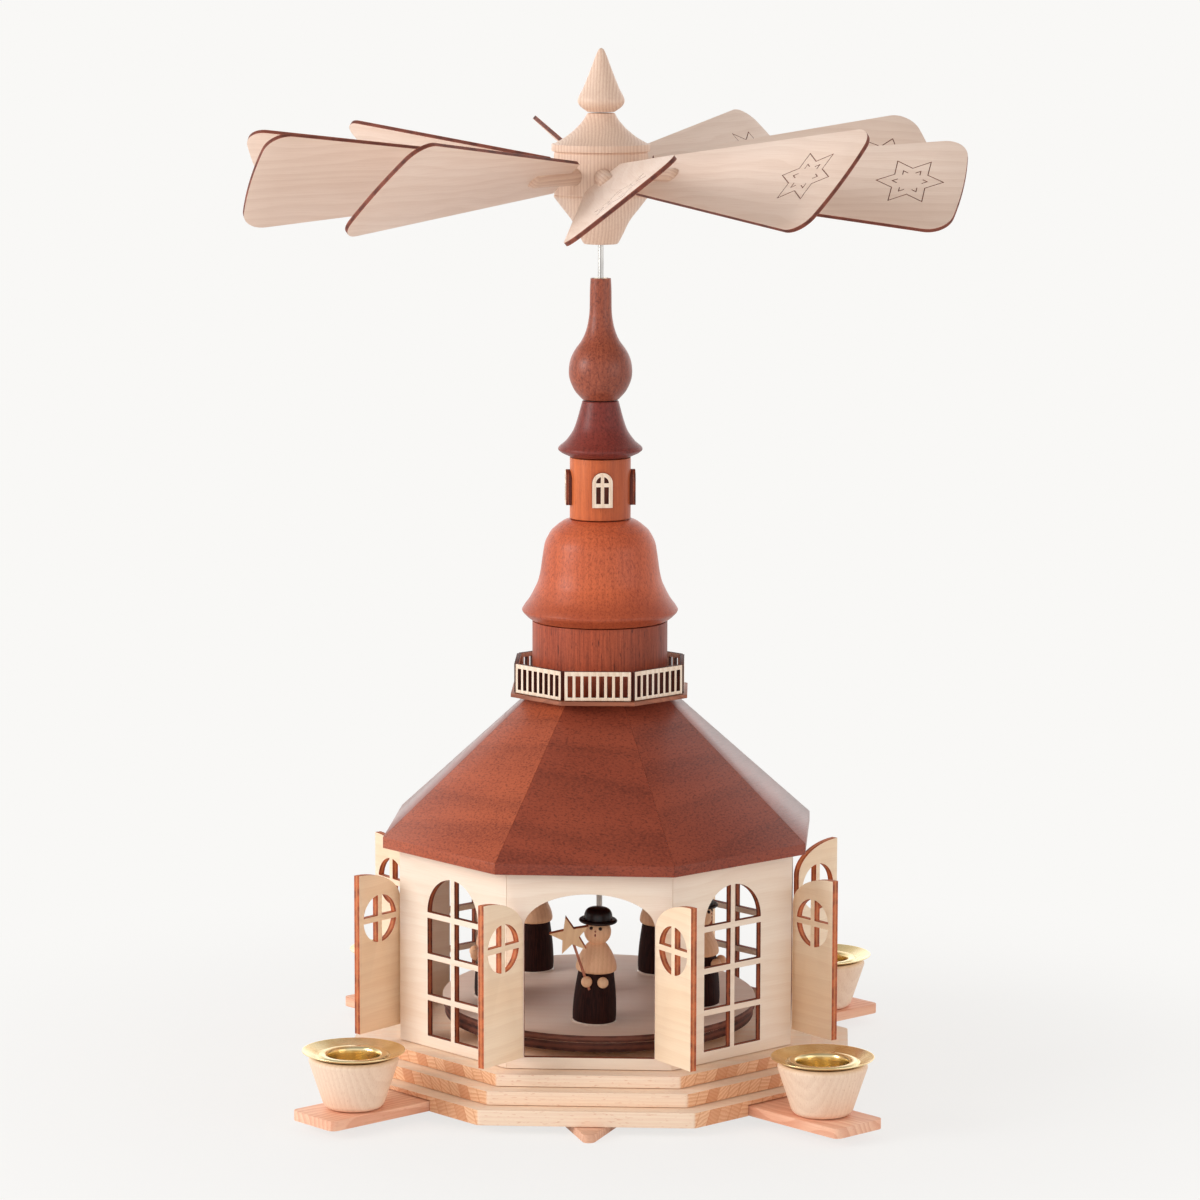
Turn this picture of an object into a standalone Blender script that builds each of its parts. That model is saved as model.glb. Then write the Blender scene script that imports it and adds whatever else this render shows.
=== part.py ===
"""Christmas pyramid in the form of a small church, for four candles.

The origin is on the table under the shaft, +Z up, and the front doorway faces -Y.
The house stands still. The shaft carries the hub with its ten blades above and the turntable
with five figures below, and turns in a cup in the base and a bush in the top of the spire.
Sizes are in metres.
"""
import math

import bmesh
import bpy
from mathutils import Matrix, Vector

MM = 0.001

# Clearances
SEAT = 0.3 * MM
GLUE_LINE = 0.3 * MM
RUNNING_GAP = 0.06 * MM
LOOSE_GAP = 0.4 * MM

# House walls: eight mitred plywood panels, with heights above the panels' feet
WALL_APOTHEM = 66.9 * MM
PLYWOOD = 2.2 * MM
WALL_HEIGHT = 66.5 * MM
SILL_HEIGHT = 3.9 * MM
OPENING_HEIGHT = 55.7 * MM
DOORWAY_HALF_WIDTH = 21.8 * MM
DOORWAY_RISE = 11.2 * MM
WINDOW_HALF_WIDTH = 13.1 * MM
WINDOW_RISE = 12.8 * MM
WINDOW_BAR = 2.0 * MM
WINDOW_ROWS = 3

# Door leaves, hung a little outside their jambs and in front of the walls, with the window's
# middle above the leaf's foot
LEAF_WIDTH = 20.7 * MM
LEAF_THICKNESS = 2.4 * MM
LEAF_SET_OUT = 0.2 * MM
LEAF_WIDEST = 145.0
LEAF_CLEARANCE = 0.15 * MM
LEAF_WINDOW_RADIUS = 8.2 * MM
LEAF_WINDOW_HEIGHT = 38.8 * MM
LEAF_WINDOW_BAR = 2.0 * MM
# How far the right and the left leaf of each side stand open, from the front round, in degrees
LEAF_ANGLES = ((126.5, 125.0), (139.5, 139.0), (135.0, 135.0), (143.0, 142.0))

# Base: a plate with four narrow points, longer to the front and back than to the sides, and
# three eight-sided boards on it, from the lowest up. Each board stands out past what it
# carries by its ledge.
PLATE_REACH = (96.1 * MM, 92.5 * MM)
PLATE_POINT_ANGLE = 37.0
PLATE_POINT_RADIUS = 2.2 * MM
PLATE_TURN = 0.8
PLATE_THICKNESS = 2.75 * MM
BOARD_THICKNESSES = (5.15 * MM, 4.5 * MM, 4.0 * MM)
BOARD_LEDGES = (6.2 * MM, 6.4 * MM, 7.2 * MM)
BOARD_CORNER = 2.5 * MM

# Candle arms: two boards half lapped over each other and let into the lowest base board
ARM_REACH = 128.1 * MM
ARM_WIDTH = 21.9 * MM
ARM_THICKNESS = 3.35 * MM
ARM_CORNER = 2.5 * MM

# Candle cups, set in from the arms' ends, and the brass pans that hang in them
CUP_INSET = 18.0 * MM
CUP_HEIGHT = 17.4 * MM
CUP_TOP_RADIUS = 15.15 * MM
CUP_FOOT_RADIUS = 10.2 * MM
CUP_EDGE = 1.2 * MM
CUP_DISH = 0.7 * MM
CUP_FLOOR = 5.6 * MM
CANDLE_HOLE_RADIUS = 8.7 * MM
PAN_SHEET = 0.5 * MM
PAN_RING_RADIUS = 11.7 * MM
PAN_RING_HEIGHT = 0.7 * MM
PAN_RIM_RADIUS = 17.4 * MM
PAN_RIM_RISE = 1.85 * MM

# Roof: a hollow eight-sided frustum
ROOF_TURN = -1.1
EAVE_OVERHANG = 5.1 * MM
EAVE_DEPTH = 3.7 * MM
ROOF_TOP_APOTHEM = 23.7 * MM
ROOF_HEIGHT = 49.8 * MM
ROOF_WALL = 10.0 * MM

# Gallery: a thin plate and a balustrade of eight panels that meet at their inner corners
GALLERY_TURN = 1.4
GALLERY_APOTHEM = 30.2 * MM
GALLERY_THICKNESS = 1.3 * MM
RAILING_INSET = 1.15 * MM
RAILING_THICKNESS = 1.5 * MM
RAILING_CORNER_NECK = 0.6 * MM
RAILING_CORNER_OPEN = 0.78 * MM
RAILING_HEIGHT = 9.9 * MM
BOTTOM_RAIL = 1.1 * MM
TOP_RAIL = 1.5 * MM
BALUSTER_COUNT = 7
BALUSTER = 1.0 * MM
END_POST = 1.05 * MM

# Tower: turned pieces stacked on the gallery, with a passage for the shaft
TOWER_PASSAGE = 1.7 * MM
LOWER_DRUM_RADIUS = 23.25 * MM
LOWER_DRUM_HEIGHT = 23.4 * MM
UPPER_DRUM_RADIUS = 10.45 * MM
UPPER_DRUM_HEIGHT = 20.9 * MM

# Bell roof: how far its sides stand out from the upper drum, at shares of its height
BELL_HEIGHT = 34.9 * MM
BELL_LIP = ((16.05 * MM, 0.077), (16.45 * MM, 0.103))
BELL_SIDE = (
    (15.45 * MM, 0.149),
    (12.05 * MM, 0.304),
    (9.55 * MM, 0.582),
    (8.35 * MM, 0.777),
    (5.25 * MM, 0.914),
    (0.5 * MM, 1.0),
)

# Lantern roof: its lip and its sides in the same way, drawn in at the top
LANTERN_ROOF_HEIGHT = 19.2 * MM
LANTERN_ROOF_LIP = (2.85 * MM, 0.068)
LANTERN_ROOF_SIDE = (
    (3.95 * MM, 0.12),
    (3.65 * MM, 0.177),
    (-1.05 * MM, 0.458),
    (-3.35 * MM, 0.818),
    (-4.25 * MM, 1.0),
)

# Spire: an onion and a slim neck, by how far they stand out from its tip
SPIRE_HEIGHT = 41.5 * MM
SPIRE_TIP_RADIUS = 3.5 * MM
SPIRE_SIDE = (
    (2.6 * MM, 0.0),
    (5.35 * MM, 0.075),
    (7.35 * MM, 0.231),
    (5.4 * MM, 0.405),
    (1.5 * MM, 0.569),
    (0.3 * MM, 0.735),
    (0.0, 1.0),
)
BUSH_WALL = 1.3 * MM
BUSH_LENGTH = 7.0 * MM

# Shaft and the bearing cup under its foot
SHAFT_RADIUS = 1.0 * MM
SHAFT_POINT = 2.0 * MM
SHAFT_GRIP = 14.3 * MM
BEARING_RADIUS = 4.0 * MM
BEARING_HEIGHT = 5.9 * MM
BEARING_WELL_RADIUS = 1.5 * MM
BEARING_WELL_DEPTH = 3.9 * MM

# Turntable: a disc glued on a backing disc, clear of the bearing and of the walls. The two sit
# slightly askew on the shaft, lowest towards the given direction in degrees.
DISC_LIFT = 2.9 * MM
DISC_CLEARANCE = 10.3 * MM
DISC_THICKNESS = 2.4 * MM
BACKING_INSET = 0.8 * MM
BACKING_THICKNESS = 3.2 * MM
DISC_LEAN = 2.1
DISC_LEAN_TOWARDS = -76.0

# Figures on the turntable, with heights above their own feet. Each has its turn in degrees
# from an even spacing and its distance from the shaft, from the front one round.
FIGURE_PLACES = (
    (0.0, 34.5 * MM),
    (2.5, 36.0 * MM),
    (5.0, 38.0 * MM),
    (2.0, 41.0 * MM),
    (-10.0, 36.0 * MM),
)
SKIRT_FOOT_RADIUS = 7.4 * MM
SKIRT_TOP_RADIUS = 6.1 * MM
CAPE_HEM_RADIUS = 7.0 * MM
CAPE_HEM = 17.3 * MM
SHOULDER_RADIUS = 5.1 * MM
SHOULDER = 23.4 * MM
NECK_RADIUS = 2.7 * MM
NECK = 26.8 * MM
HEAD_RADIUS = 4.6 * MM
HAT_BRIM_RADIUS = 6.7 * MM
HAT_BRIM = 34.6 * MM
HAT_BRIM_THICKNESS = 1.2 * MM
HAT_RADIUS = 4.75 * MM
HAT_TOP = 39.4 * MM
HEAD_SHOWN = 35.0
SLEEVE_DROP = 2.4 * MM
ARM_RADIUS = 1.6 * MM
HAND_RADIUS = 1.95 * MM
HAND_SPREAD = 3.0 * MM
HAND_OUT = 7.2 * MM
HAND_HEIGHT = 14.9 * MM
STICK_RADIUS = 0.65 * MM
STAR_POINTS = 5
STAR_RADIUS = 7.2 * MM
STAR_NOTCH_RADIUS = 3.0 * MM
STAR_THICKNESS = 1.8 * MM
STAR_ACROSS = -8.6 * MM
STAR_HEIGHT = 30.8 * MM
STAR_TURN = 104.7

# Hub and finial
HUB_CLEARANCE = 11.5 * MM
HUB_RADIUS = 16.0 * MM
PEG_ABOVE_FOOT = 23.5 * MM
HUB_BODY_HEIGHT = 15.5 * MM
HUB_FOOT_RADIUS = 5.6 * MM
HUB_FOOT_HEIGHT = 16.0 * MM
HUB_FLARE = 4.3 * MM
FLANGE_RADIUS = 16.8 * MM
FLANGE_HEIGHT = 2.5 * MM
HUB_NECK_RADIUS = 4.6 * MM
HUB_CONE_HEIGHT = 10.5 * MM
HUB_CONE_RADIUS = 8.85 * MM
HUB_CONE_WAIST = 0.47
FINIAL_RADIUS = 7.95 * MM
FINIAL_HEIGHT = 21.5 * MM
FINIAL_BULGE = 0.19
FINIAL_WAIST = 0.6
FINIAL_WAIST_RADIUS = 4.05 * MM
FINIAL_TIP_RADIUS = 0.9 * MM

# Blades: fans of thin plywood, each glued into the slot of a round peg
PEG_RADIUS = 3.0 * MM
PEG_INNER = 11.8 * MM
PEG_OUTER = 41.5 * MM
PEG_DOME = 2.2 * MM
PEG_SHOULDER = 0.75
BLADE_THICKNESS = 1.5 * MM
BLADE_ROOT = 21.0 * MM
BLADE_ROOT_WIDTH = 14.9 * MM
BLADE_REACH = 124.6 * MM
BLADE_WIDTH = 47.2 * MM
BLADE_CORNER = 8.0 * MM
BLADE_FIRST = -84.2
# How each blade was set by hand, from the front one round the hub by way of +X:
# turn about the shaft, pitch about its peg and rise of the peg, in degrees
BLADE_SETTINGS = (
    (0.0, 38.5, -1.0),
    (-1.0, 44.5, 1.5),
    (0.5, 38.5, -1.0),
    (0.0, 45.0, 1.0),
    (1.0, 45.0, 1.0),
    (1.0, 42.5, 0.0),
    (1.0, 41.0, 0.0),
    (-2.0, 41.5, -0.5),
    (1.0, 45.5, 0.0),
    (-2.0, 42.5, 0.0),
)

# Facets
OCTAGON = 8
TOWER_SIDES = 24
SMALL_SIDES = 12
CUP_SIDES = 20
FIGURE_SIDES = 12
DISC_SIDES = 48
ARC_STEPS = 4
BOARD_CORNER_STEPS = 2
ARCH_STEPS = 14
CURVE_STEPS = 2
HUB_CURVE_STEPS = 3
SLEEVE_SIDES = 8
STICK_SIDES = 6
HEAD_STEPS = 5
BLADE_FIT_ROUNDS = 8
SHARP_ANGLE = 35.0

SIDES = ("front", "right", "back", "left")
CORNERS = ("front_right", "back_right", "back_left", "front_left")


def clear_scene():
    """Remove everything that the file opened with."""
    for thing in list(bpy.data.objects):
        bpy.data.objects.remove(thing, do_unlink=True)


def make_material(name, colour, roughness, metallic=0.0):
    """A plain Principled material."""
    material = bpy.data.materials.new(name)
    material.use_nodes = True
    shader = material.node_tree.nodes["Principled BSDF"]
    shader.inputs["Base Color"].default_value = (*colour, 1.0)
    shader.inputs["Roughness"].default_value = roughness
    shader.inputs["Metallic"].default_value = metallic
    material.diffuse_color = (*colour, 1.0)
    return material


def add_object(name, bm, material, parent=None):
    """Turn a bmesh into a named object with outward faces."""
    bmesh.ops.recalc_face_normals(bm, faces=bm.faces)
    mesh = bpy.data.meshes.new(name)
    bm.to_mesh(mesh)
    bm.free()
    mesh.materials.append(material)
    thing = bpy.data.objects.new(name, mesh)
    bpy.context.scene.collection.objects.link(thing)
    thing.parent = parent
    return thing


def smooth(thing):
    """Shade a round piece smooth, with its real corners kept sharp."""
    thing.data.shade_smooth()
    thing.data.set_sharp_from_angle(angle=math.radians(SHARP_ANGLE))
    return thing


def combine(target, tool, operation):
    """Join one object to another or cut it, apply the result and remove the tool."""
    modifier = target.modifiers.new("combine", "BOOLEAN")
    modifier.operation = operation
    modifier.solver = "EXACT"
    modifier.object = tool
    bpy.context.view_layer.update()
    evaluated = target.evaluated_get(bpy.context.evaluated_depsgraph_get())
    mesh = bpy.data.meshes.new_from_object(evaluated)
    target.modifiers.clear()
    target.data = mesh
    bpy.data.objects.remove(tool, do_unlink=True)
    return target


def turned_bmesh(profile, sides, closed=False, first_angle=0.0):
    """Turn a profile of (radius, height) points about Z. A closed one runs back to its start."""
    bm = bmesh.new()
    angles = [first_angle + 2.0 * math.pi * k / sides for k in range(sides)]
    loops = []
    for radius, height in profile:
        if radius <= 0.0:
            points = [(0.0, 0.0, height)]
        else:
            points = [(radius * math.cos(a), radius * math.sin(a), height) for a in angles]
        loops.append([bm.verts.new(point) for point in points])
    pairs = list(zip(loops, loops[1:]))
    if closed:
        pairs.append((loops[-1], loops[0]))
    for first, second in pairs:
        for k in range(sides):
            corners = [first[k % len(first)], first[(k + 1) % sides % len(first)]]
            corners += [second[(k + 1) % sides % len(second)], second[k % len(second)]]
            corners = list(dict.fromkeys(corners))
            if len(corners) > 2:
                bm.faces.new(corners)
    return bm


def turned(name, profile, sides, material, parent=None, closed=False):
    """A turned piece on the axis of its own object."""
    return smooth(add_object(name, turned_bmesh(profile, sides, closed), material, parent))


def curve_through(points, steps=CURVE_STEPS):
    """A smooth curve through a few control points of a profile."""
    knots = [Vector(point) for point in points]
    knots = [2.0 * knots[0] - knots[1], *knots, 2.0 * knots[-1] - knots[-2]]
    curve = []
    for before, start, end, after in zip(knots, knots[1:], knots[2:], knots[3:]):
        for step in range(steps):
            t = step / steps
            bend = (2.0 * before - 5.0 * start + 4.0 * end - after) * t * t
            twist = (3.0 * start - 3.0 * end + after - before) * t * t * t
            spot = 0.5 * (2.0 * start + (end - before) * t + bend + twist)
            curve.append((spot.x, spot.y))
    curve.append(tuple(points[-1]))
    return curve


def bored(profile, bore):
    """Close a profile, which runs from its foot to its top, along a passage of a given radius."""
    return [(bore, profile[0][1]), *profile, (bore, profile[-1][1])]


def slab_bmesh(outline, low, high, holes=()):
    """Extrude a flat outline with holes between two heights."""
    bm = bmesh.new()
    edges = []
    for loop in (outline, *holes):
        verts = [bm.verts.new((x, y, low)) for x, y in loop]
        edges += [bm.edges.new((verts[k - 1], verts[k])) for k in range(len(verts))]
    bmesh.ops.triangle_fill(bm, use_beauty=True, use_dissolve=False, edges=edges)
    raised = bmesh.ops.extrude_face_region(bm, geom=list(bm.faces))
    lifted = [item for item in raised["geom"] if isinstance(item, bmesh.types.BMVert)]
    bmesh.ops.translate(bm, verts=lifted, vec=(0.0, 0.0, high - low))
    return bm


def upright_bmesh(outline, thickness, holes=()):
    """A panel drawn in X and Z whose outer face lies at Y = 0 and whose inner face is at +Y."""
    bm = slab_bmesh(outline, -thickness, 0.0, holes)
    bmesh.ops.rotate(bm, verts=bm.verts, matrix=Matrix.Rotation(math.radians(90.0), 3, "X"))
    return bm


def arc(centre, radius, start, end, steps):
    """Points along an arc, with its angles in degrees."""
    angles = [math.radians(start + (end - start) * k / steps) for k in range(steps + 1)]
    return [(centre[0] + radius * math.cos(a), centre[1] + radius * math.sin(a)) for a in angles]


def circle(radius, sides):
    """A closed loop of points round a circle."""
    return arc((0.0, 0.0), radius, 0.0, 360.0, sides)[:-1]


def running_bore(radius):
    """The radius of a faceted bore whose flats clear a round piece by the running gap."""
    return (radius + RUNNING_GAP) / math.cos(math.pi / SMALL_SIDES)


def rectangle(left, right, bottom, top):
    """The corners of a rectangle, anticlockwise."""
    return [(left, bottom), (right, bottom), (right, top), (left, top)]


def regular_polygon(sides, apothem, turn=0.0):
    """A regular polygon with a flat side facing -Y, turned by an angle in degrees."""
    radius = apothem / math.cos(math.pi / sides)
    start = -90.0 + 180.0 / sides + turn
    return arc((0.0, 0.0), radius, start, start + 360.0, sides)[:-1]


def round_corners(points, radius, steps=ARC_STEPS):
    """Replace each corner of a convex anticlockwise outline with an arc."""
    rounded = []
    for k, point in enumerate(points):
        corner = Vector(point)
        back = (Vector(points[k - 1]) - corner).normalized()
        ahead = (Vector(points[(k + 1) % len(points)]) - corner).normalized()
        half = back.angle(ahead) / 2.0
        centre = corner + (back + ahead).normalized() * radius / math.sin(half)
        start = math.degrees(math.atan2(-back.x, back.y))
        sweep = 180.0 - math.degrees(2.0 * half)
        rounded += arc(centre, radius, start + 180.0, start + 180.0 + sweep, steps)
    return rounded


def arch(half_width, spring, rise, start, end, steps=ARCH_STEPS):
    """Points along a half-oval arch between two angles in degrees, from its right side."""
    angles = [math.radians(start + (end - start) * k / steps) for k in range(steps + 1)]
    return [(half_width * math.cos(a), spring + rise * math.sin(a)) for a in angles]


def facing(index, count=OCTAGON):
    """The direction in radians that a side of the house faces, counted from the front."""
    return math.radians(-90.0 + 360.0 * index / count)


def place(thing, angle, distance, height):
    """Put an object at a distance from the shaft, with its outer side facing away from it."""
    thing.location = (distance * math.cos(angle), distance * math.sin(angle), height)
    thing.rotation_euler.z = angle + math.radians(90.0)
    return thing


def board_levels():
    """The bottom and top heights of the three base boards."""
    bottom = PLATE_THICKNESS + SEAT
    levels = []
    for thickness in BOARD_THICKNESSES:
        levels.append((bottom, bottom + thickness))
        bottom += thickness + GLUE_LINE
    return levels


def board_apothem(index):
    """A base board reaches past the walls by its own ledge and by those of the boards on it."""
    return WALL_APOTHEM + sum(BOARD_LEDGES[index:])


def plate_outline():
    """Four points with rounded tips that meet in inner corners, from the front one round."""
    half = math.radians(PLATE_POINT_ANGLE / 2.0)
    slope = math.tan(half)
    sharp = PLATE_POINT_RADIUS / math.sin(half) - PLATE_POINT_RADIUS
    points = 2 * len(PLATE_REACH)
    outline = []
    for k in range(points):
        own, other = (PLATE_REACH[(k + n) % len(PLATE_REACH)] for n in range(2))
        angle = facing(k, points) + math.radians(PLATE_TURN)
        ahead = Vector((math.cos(angle), math.sin(angle)))
        aside = Vector((-ahead.y, ahead.x))
        tip = [math.degrees(angle + side * (math.pi / 2.0 - half)) for side in (-1, 1)]
        outline += arc(ahead * (own - PLATE_POINT_RADIUS), PLATE_POINT_RADIUS, *tip, ARC_STEPS)
        along = slope * (other + sharp - slope * (own + sharp)) / (1.0 - slope * slope)
        outline.append(tuple(ahead * along + aside * slope * (own + sharp - along)))
    return outline


def make_base(woods):
    """The plate on the table and the three boards, the top one bored for the bearing cup."""
    plate = slab_bmesh(plate_outline(), 0.0, PLATE_THICKNESS)
    add_object("under_plate", plate, woods["shaded_beech"])
    names = ("base_board_lower", "base_board_middle", "base_board_upper")
    holes = ((), (), (circle(BEARING_RADIUS + SEAT, SMALL_SIDES),))
    boards = []
    for index, (bottom, top) in enumerate(board_levels()):
        octagon = regular_polygon(OCTAGON, board_apothem(index))
        outline = round_corners(octagon, BOARD_CORNER, BOARD_CORNER_STEPS)
        board = slab_bmesh(outline, bottom, top, holes[index])
        boards.append(add_object(names[index], board, woods["beech"]))
    return boards[0]


def make_arm(name, direction, notch_levels, lower_board, woods):
    """One arm board, notched half way through its middle and let into the lowest base board."""
    bottom = PLATE_THICKNESS + SEAT
    top = bottom + ARM_THICKNESS
    wood = woods["arm_beech"]
    strip = rectangle(-ARM_REACH, ARM_REACH, -ARM_WIDTH / 2.0, ARM_WIDTH / 2.0)
    board = add_object(name, slab_bmesh(round_corners(strip, ARM_CORNER), bottom, top), wood)
    notch_half = ARM_WIDTH / 2.0 + LOOSE_GAP
    notch = rectangle(-notch_half, notch_half, -ARM_WIDTH, ARM_WIDTH)
    combine(board, add_object("notch", slab_bmesh(notch, *notch_levels), wood), "DIFFERENCE")
    board.rotation_euler.z = math.radians(direction)
    slot = rectangle(-ARM_REACH, ARM_REACH, -notch_half, notch_half)
    cutter = add_object("slot", slab_bmesh(slot, bottom - ARM_THICKNESS, top + LOOSE_GAP), wood)
    cutter.rotation_euler.z = math.radians(direction)
    combine(lower_board, cutter, "DIFFERENCE")


def make_arms(lower_board, woods):
    """Two arm boards across each other, the second one half lapped over the first."""
    bottom = PLATE_THICKNESS + SEAT
    middle = bottom + ARM_THICKNESS / 2.0
    above = (middle - GLUE_LINE / 2.0, bottom + 2.0 * ARM_THICKNESS)
    below = (bottom - ARM_THICKNESS, middle + GLUE_LINE / 2.0)
    make_arm("arm_board_a", 45.0, above, lower_board, woods)
    make_arm("arm_board_b", -45.0, below, lower_board, woods)


def cup_profile():
    """A tapering cup with eased edges, from its foot to its dished top, and its candle bore."""
    bore = CANDLE_HOLE_RADIUS + PAN_SHEET + SEAT
    dish = CUP_HEIGHT - CUP_DISH
    foot = [(CUP_FOOT_RADIUS - CUP_EDGE, 0.0), (CUP_FOOT_RADIUS, CUP_EDGE)]
    rim = [(CUP_TOP_RADIUS, CUP_HEIGHT - CUP_EDGE), (CUP_TOP_RADIUS - CUP_EDGE, CUP_HEIGHT)]
    top = [(PAN_RING_RADIUS, dish), (bore, dish), (bore, CUP_FLOOR)]
    return [(0.0, 0.0), *foot, *rim, *top, (0.0, CUP_FLOOR)]


def pan_profile():
    """A pressed brass pan: a candle socket with a raised ring and a shallow flaring rim."""
    low = CUP_FLOOR + SEAT
    seat = CUP_HEIGHT - CUP_DISH + SEAT
    inner = CANDLE_HOLE_RADIUS
    outer = inner + PAN_SHEET
    crest = seat + PAN_SHEET + PAN_RING_HEIGHT
    rim = seat + PAN_RIM_RISE
    socket = [(0.0, low), (outer, low), (outer, seat), (PAN_RING_RADIUS, seat)]
    flare = [(PAN_RIM_RADIUS, rim), (PAN_RIM_RADIUS, rim + PAN_SHEET)]
    flare.append((PAN_RING_RADIUS + PAN_SHEET, seat + PAN_SHEET))
    ring = [(PAN_RING_RADIUS - PAN_SHEET, crest), (inner + 2.0 * PAN_SHEET, crest)]
    bore = [(inner, crest - PAN_SHEET), (inner, low + PAN_SHEET), (0.0, low + PAN_SHEET)]
    return [*socket, *flare, *ring, *bore]


def make_candle_holders(woods):
    """A turned cup near the end of each arm, and the brass pan that lifts out of it."""
    seat = PLATE_THICKNESS + SEAT + ARM_THICKNESS + GLUE_LINE
    for index, corner in enumerate(CORNERS):
        angle = facing(2 * index + 1)
        cup = turned("candle_cup_" + corner, cup_profile(), CUP_SIDES, woods["cup_beech"])
        pan = turned("candle_pan_" + corner, pan_profile(), CUP_SIDES, woods["brass"])
        for piece in (cup, pan):
            place(piece, angle, ARM_REACH - CUP_INSET, seat)


def doorway_hole():
    """The doorway as cut in its panel, with heights above the panel's foot."""
    spring = SILL_HEIGHT + OPENING_HEIGHT - DOORWAY_RISE
    top = arch(DOORWAY_HALF_WIDTH, spring, DOORWAY_RISE, 0.0, 180.0)
    return [(-DOORWAY_HALF_WIDTH, SILL_HEIGHT), (DOORWAY_HALF_WIDTH, SILL_HEIGHT), *top]


def window_panes():
    """The panes of an arched window, left and right of its middle bar."""
    spring = SILL_HEIGHT + OPENING_HEIGHT - WINDOW_RISE
    half_bar = WINDOW_BAR / 2.0
    pitch = (spring - SILL_HEIGHT) / WINDOW_ROWS
    panes = []
    for row in range(WINDOW_ROWS):
        low = SILL_HEIGHT + row * pitch
        high = low + pitch - WINDOW_BAR
        panes.append(rectangle(half_bar, WINDOW_HALF_WIDTH, low, high))
        panes.append(rectangle(-WINDOW_HALF_WIDTH, -half_bar, low, high))
    reach = math.degrees(math.acos(half_bar / WINDOW_HALF_WIDTH))
    top = arch(WINDOW_HALF_WIDTH, spring, WINDOW_RISE, 0.0, reach, ARCH_STEPS // 2)
    quarter = [(half_bar, spring), *top]
    panes.append(quarter)
    panes.append([(-x, z) for x, z in quarter])
    return panes


def make_wall(name, index, holes, foot, woods):
    """One mitred wall panel."""
    slope = math.tan(math.pi / OCTAGON)
    half = WALL_APOTHEM * slope - GLUE_LINE / 2.0 / math.cos(math.pi / OCTAGON)
    bm = upright_bmesh(rectangle(-half, half, 0.0, WALL_HEIGHT), PLYWOOD, holes)
    for vert in bm.verts:
        if abs(vert.co.x) > half - GLUE_LINE:
            vert.co.x -= math.copysign(vert.co.y * slope, vert.co.x)
    return place(add_object(name, bm, woods["maple"]), facing(index), WALL_APOTHEM, foot)


def make_house(foot, woods):
    """Four walls with doorways and four with barred windows between them."""
    for k in range(OCTAGON // 2):
        make_wall("doorway_wall_" + SIDES[k], 2 * k, [doorway_hole()], foot, woods)
        make_wall("window_wall_" + CORNERS[k], 2 * k + 1, window_panes(), foot, woods)


def leaf_quarters(centre):
    """The four panes of a door leaf's round window."""
    half_bar = LEAF_WINDOW_BAR / 2.0
    edge = math.degrees(math.asin(half_bar / LEAF_WINDOW_RADIUS))
    rim = arc((0.0, 0.0), LEAF_WINDOW_RADIUS, edge, 90.0 - edge, ARC_STEPS + 1)
    quarter = [(half_bar, half_bar), *rim]
    panes = []
    for across, up in ((1, 1), (-1, 1), (-1, -1), (1, -1)):
        panes.append([(centre[0] + across * x, centre[1] + up * z) for x, z in quarter])
    return panes


def leaf_hinge(index, hand):
    """Where a leaf's hinge stands, seen from above: the leaf's inner corner turns on it."""
    swing = math.radians(LEAF_WIDEST - 90.0)
    gap = LEAF_THICKNESS * math.sin(swing) + LEAF_CLEARANCE
    angle = facing(index)
    outward = Vector((math.cos(angle), math.sin(angle), 0.0))
    across = Vector((-math.sin(angle), math.cos(angle), 0.0))
    return outward * (WALL_APOTHEM + gap) + across * hand * (DOORWAY_HALF_WIDTH + LEAF_SET_OUT)


def make_leaf(name, index, hand, opening, house_foot, woods):
    """A door leaf hinged in front of its jamb. Hand is 1 for the right-hand leaf."""
    spring = OPENING_HEIGHT - DOORWAY_RISE - LOOSE_GAP
    top = arch(LEAF_WIDTH, spring, DOORWAY_RISE - LOOSE_GAP, 0.0, 90.0, ARCH_STEPS // 2)
    outline = [(0.0, 0.0), (LEAF_WIDTH, 0.0), *top]
    panes = leaf_quarters((LEAF_WIDTH / 2.0, LEAF_WINDOW_HEIGHT))
    loops = [[(hand * (x - LEAF_WIDTH), z) for x, z in loop] for loop in (outline, *panes)]
    bm = upright_bmesh(loops[0], LEAF_THICKNESS, loops[1:])
    bmesh.ops.translate(bm, verts=bm.verts, vec=(0.0, -LEAF_THICKNESS, 0.0))
    leaf = add_object(name, bm, woods["maple"])
    leaf.location = leaf_hinge(index, hand)
    leaf.location.z = house_foot + SILL_HEIGHT + LOOSE_GAP
    leaf.rotation_euler.z = facing(index) + math.radians(90.0 + hand * opening)
    return leaf


def make_doors(house_foot, woods):
    """Two leaves at each doorway, as they stand open."""
    for k, side in enumerate(SIDES):
        right, left = LEAF_ANGLES[k]
        make_leaf("door_leaf_" + side + "_right", 2 * k, 1, right, house_foot, woods)
        make_leaf("door_leaf_" + side + "_left", 2 * k, -1, left, house_foot, woods)


def make_roof(foot, woods):
    """A hollow roof of even thickness, open below and at its top. Returns its top's height."""
    eave = WALL_APOTHEM + EAVE_OVERHANG
    top = foot + ROOF_HEIGHT
    outside = [(eave, foot), (eave, foot + EAVE_DEPTH), (ROOF_TOP_APOTHEM, top)]
    inside = [(apothem - ROOF_WALL, height) for apothem, height in reversed(outside)]
    corner = 1.0 / math.cos(math.pi / OCTAGON)
    profile = [(apothem * corner, height) for apothem, height in (*outside, *inside)]
    bm = turned_bmesh(profile, OCTAGON, closed=True, first_angle=math.pi / OCTAGON)
    roof = add_object("roof", bm, woods["mahogany"])
    roof.rotation_euler.z = math.radians(ROOF_TURN)
    return top


def railing_panel_half():
    """Half the width of a balustrade panel, which leaves its corners open."""
    side = (GALLERY_APOTHEM - RAILING_INSET) * math.tan(math.pi / OCTAGON)
    return side - RAILING_CORNER_OPEN


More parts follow.
